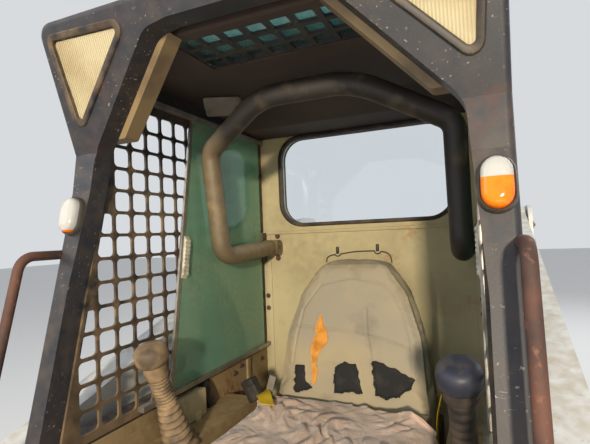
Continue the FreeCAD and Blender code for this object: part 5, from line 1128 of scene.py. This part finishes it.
def arm_gear():
    """Steel oil pipes on the outer faces of the lift arms, with their clamps and end blocks."""
    bm = bmesh.new()
    slope = Matrix.Rotation(math.radians(17.5), 3, "X")
    leg = Matrix.Rotation(math.radians(-10.3), 3, "X")
    for side in SIDES:
        word = "left" if side < 0 else "right"
        x = side * 0.6085
        for number, drop in enumerate((0.012, 0.036)):
            route = [(y, on_arm(y, drop)) for y in (0.985, 0.90, 0.20, -0.55, -0.74)]
            route += [(-0.852 + drop, 0.800 - drop * 0.6), (-0.862 + drop, 0.735), (-0.905 + drop, 0.490)]
            pipe("arm_pipe_%s_%d" % (word, number), [(x, y, z) for y, z in route], 0.0062, pipe_steel,
                 "lift_arms")
        for y in (0.84, 0.40, -0.04, -0.48):
            centre = Vector((side * 0.6070, y, on_arm(y, 0.024)))
            block(bm, centre - Vector((0.0085, 0.012, 0.024)), centre + Vector((0.0085, 0.012, 0.024)), 0.003, slope)
            bolt(bm, centre + Vector((side * 0.0080, 0, 0)), (side, 0, 0), 0.006)
        centre = Vector((side * 0.6095, 1.000, on_arm(1.0, 0.024)))
        block(bm, centre - Vector((0.0115, 0.024, 0.030)), centre + Vector((0.0115, 0.024, 0.030)), 0.004, slope)
        centre = Vector((side * 0.6095, -0.884, 0.472))
        block(bm, centre - Vector((0.0115, 0.030, 0.026)), centre + Vector((0.0115, 0.030, 0.026)), 0.004, leg)
    made("arm_fittings", bm, chassis_paint, "lift_arms")


def pin_keepers():
    """Keeper plates and bolts beside the pins, and grease nipples."""
    bm = bmesh.new()
    for side in SIDES:
        y, z = LIFT_PIVOT
        block(bm, (side * 0.6305 - 0.006, y - 0.076, z - 0.016), (side * 0.6305 + 0.002, y - 0.034, z + 0.016), 0.003)
        bolt(bm, (side * 0.632, y - 0.060, z), (side, 0, 0), 0.008)
        turned(bm, [(0.004, 0.0), (0.004, 0.006), (0.0025, 0.007), (0.0035, 0.010), (0.002, 0.012)],
               (side * 0.631, y, z), (side, 0, 0), 12)
    made("upright_keepers", bm, chassis_paint, "chassis")


def rear_gear():
    """The rear door's handle and lock, and trims round the tail lamps."""
    low, high = (Vector(c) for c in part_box("rear_door"))
    bm = bmesh.new()
    x, y, z = low.x + 0.085, high.y, (low.z + high.z) / 2 + 0.02
    turned(bm, [(0.030, -0.001), (0.030, 0.004), (0.026, 0.007), (0.012, 0.008), (0.012, 0.016), (0.009, 0.019)],
           (x, y, z), (0, 1, 0))
    block(bm, (x - 0.014, y + 0.010, z - 0.110), (x + 0.014, y + 0.021, z + 0.016), 0.004)
    turned(bm, [(0.013, -0.001), (0.013, 0.003), (0.010, 0.005), (0.004, 0.005), (0.004, 0.003)],
           (x, y, z + 0.065), (0, 1, 0), 20)
    made("door_handle", bm, trim_dark, "rear_door")
    bm = bmesh.new()
    for lamp_low, lamp_high in islands("tail_lamps"):
        centre = (lamp_low + lamp_high) / 2
        half_x, half_z = (lamp_high.x - lamp_low.x) / 2, (lamp_high.z - lamp_low.z) / 2
        loops = []
        for grow, radius, out in ((0.007, 0.019, -0.014), (0.007, 0.019, -0.004), (0.005, 0.017, -0.001),
                                  (0.001, 0.013, -0.001), (-0.0005, 0.0115, -0.004), (-0.0005, 0.0115, -0.014)):
            corners = [(-half_x - grow, -half_z - grow), (-half_x - grow, half_z + grow),
                       (half_x + grow, half_z + grow), (half_x + grow, -half_z - grow)]
            loops.append([(centre.x + p.x, lamp_high.y - 0.006 + out, centre.z + p.y) for p in rounded(corners, radius)])
        lofted(bm, loops)
    made("tail_lamp_trims", bm, trim_dark, "chassis")


def wheel_gear():
    """A valve on each wheel."""
    for place in ("front_left", "front_right", "rear_left", "rear_right"):
        low, high = (Vector(c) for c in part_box("rim_" + place))
        side = 1 if high.x > 0 else -1
        centre = (low + high) / 2
        face = high.x if side > 0 else low.x
        bm = bmesh.new()
        turned(bm, [(0.0045, 0.0), (0.0045, 0.030), (0.0055, 0.031), (0.0055, 0.040), (0.004, 0.042)],
               (face - side * 0.060, centre.y + 0.118, centre.z + 0.118), (side, 0.25, 0.25), 14)
        made("valve_" + place, bm, trim_dark, "wheel_" + place)


lamp_bezels()
marker_lamps()
levers()
seat_cushion()
seat_back()
cloth_sheet()
belts()
rear_wall_details()
cab_back_panel()
side_wall_details()
lining_details()
arm_gear()
pin_keepers()
rear_gear()
wheel_gear()


def stage():
    """A wide pale floor, and a pale room with soft lamps."""
    bpy.ops.mesh.primitive_plane_add(size=60)
    floor = bpy.context.object
    floor.name = "floor"
    pale = Finish("floor_pale", (0.80, 0.79, 0.77), 0.9)
    pale.bump(pale.noise(30, 2), 0.001, 0.1)
    floor.data.materials.append(pale.material)
    world = bpy.data.worlds.new("room")
    world.use_nodes = True
    bpy.context.scene.world = world
    nodes, links = world.node_tree.nodes, world.node_tree.links
    soft = nodes["Background"]
    soft.inputs["Color"].default_value = (0.80, 0.84, 0.90, 1)
    soft.inputs["Strength"].default_value = 0.6
    seen = nodes.new("ShaderNodeBackground")
    seen.inputs["Color"].default_value = (0.80, 0.83, 0.86, 1)
    seen.inputs["Strength"].default_value = 0.85
    path = nodes.new("ShaderNodeLightPath")
    first = nodes.new("ShaderNodeMath")
    first.operation = "MAXIMUM"
    second = nodes.new("ShaderNodeMath")
    second.operation = "MAXIMUM"
    mix = nodes.new("ShaderNodeMixShader")
    links.new(path.outputs["Is Camera Ray"], first.inputs[0])
    links.new(path.outputs["Is Glossy Ray"], first.inputs[1])
    links.new(first.outputs[0], second.inputs[0])
    links.new(path.outputs["Is Transmission Ray"], second.inputs[1])
    links.new(second.outputs[0], mix.inputs["Fac"])
    links.new(soft.outputs[0], mix.inputs[1])
    links.new(seen.outputs[0], mix.inputs[2])
    links.new(mix.outputs[0], nodes["World Output"].inputs["Surface"])
    for name, kind, place, aim, power, size, colour in (
            ("key", "AREA", (2.0, -7.2, 2.75), (0.05, 0.4, 1.2), 660, 0.45, (1.0, 0.87, 0.66)),
            ("fill", "AREA", (-4.5, -3.5, 4.2), (0, 0, 1.0), 90, 4.0, (0.86, 0.92, 1.0)),
            ("back", "AREA", (3.5, 5.5, 5.0), (0, 0, 1.0), 170, 4.0, (0.95, 0.97, 1.0)),
            ("cab", "AREA", (0.15, -1.9, 2.2), (0, 0.5, 1.2), 9, 1.2, (0.95, 0.97, 1.0))):
        data = bpy.data.lights.new(name, kind)
        data.energy = power
        data.size = size
        data.color = colour
        lamp = bpy.data.objects.new(name, data)
        lamp.visible_camera = False
        lamp.visible_glossy = name != "cab"
        lamp.location = place
        lamp.rotation_euler = (Vector(aim) - Vector(place)).to_track_quat("-Z", "Y").to_euler()
        bpy.context.scene.collection.objects.link(lamp)


stage()
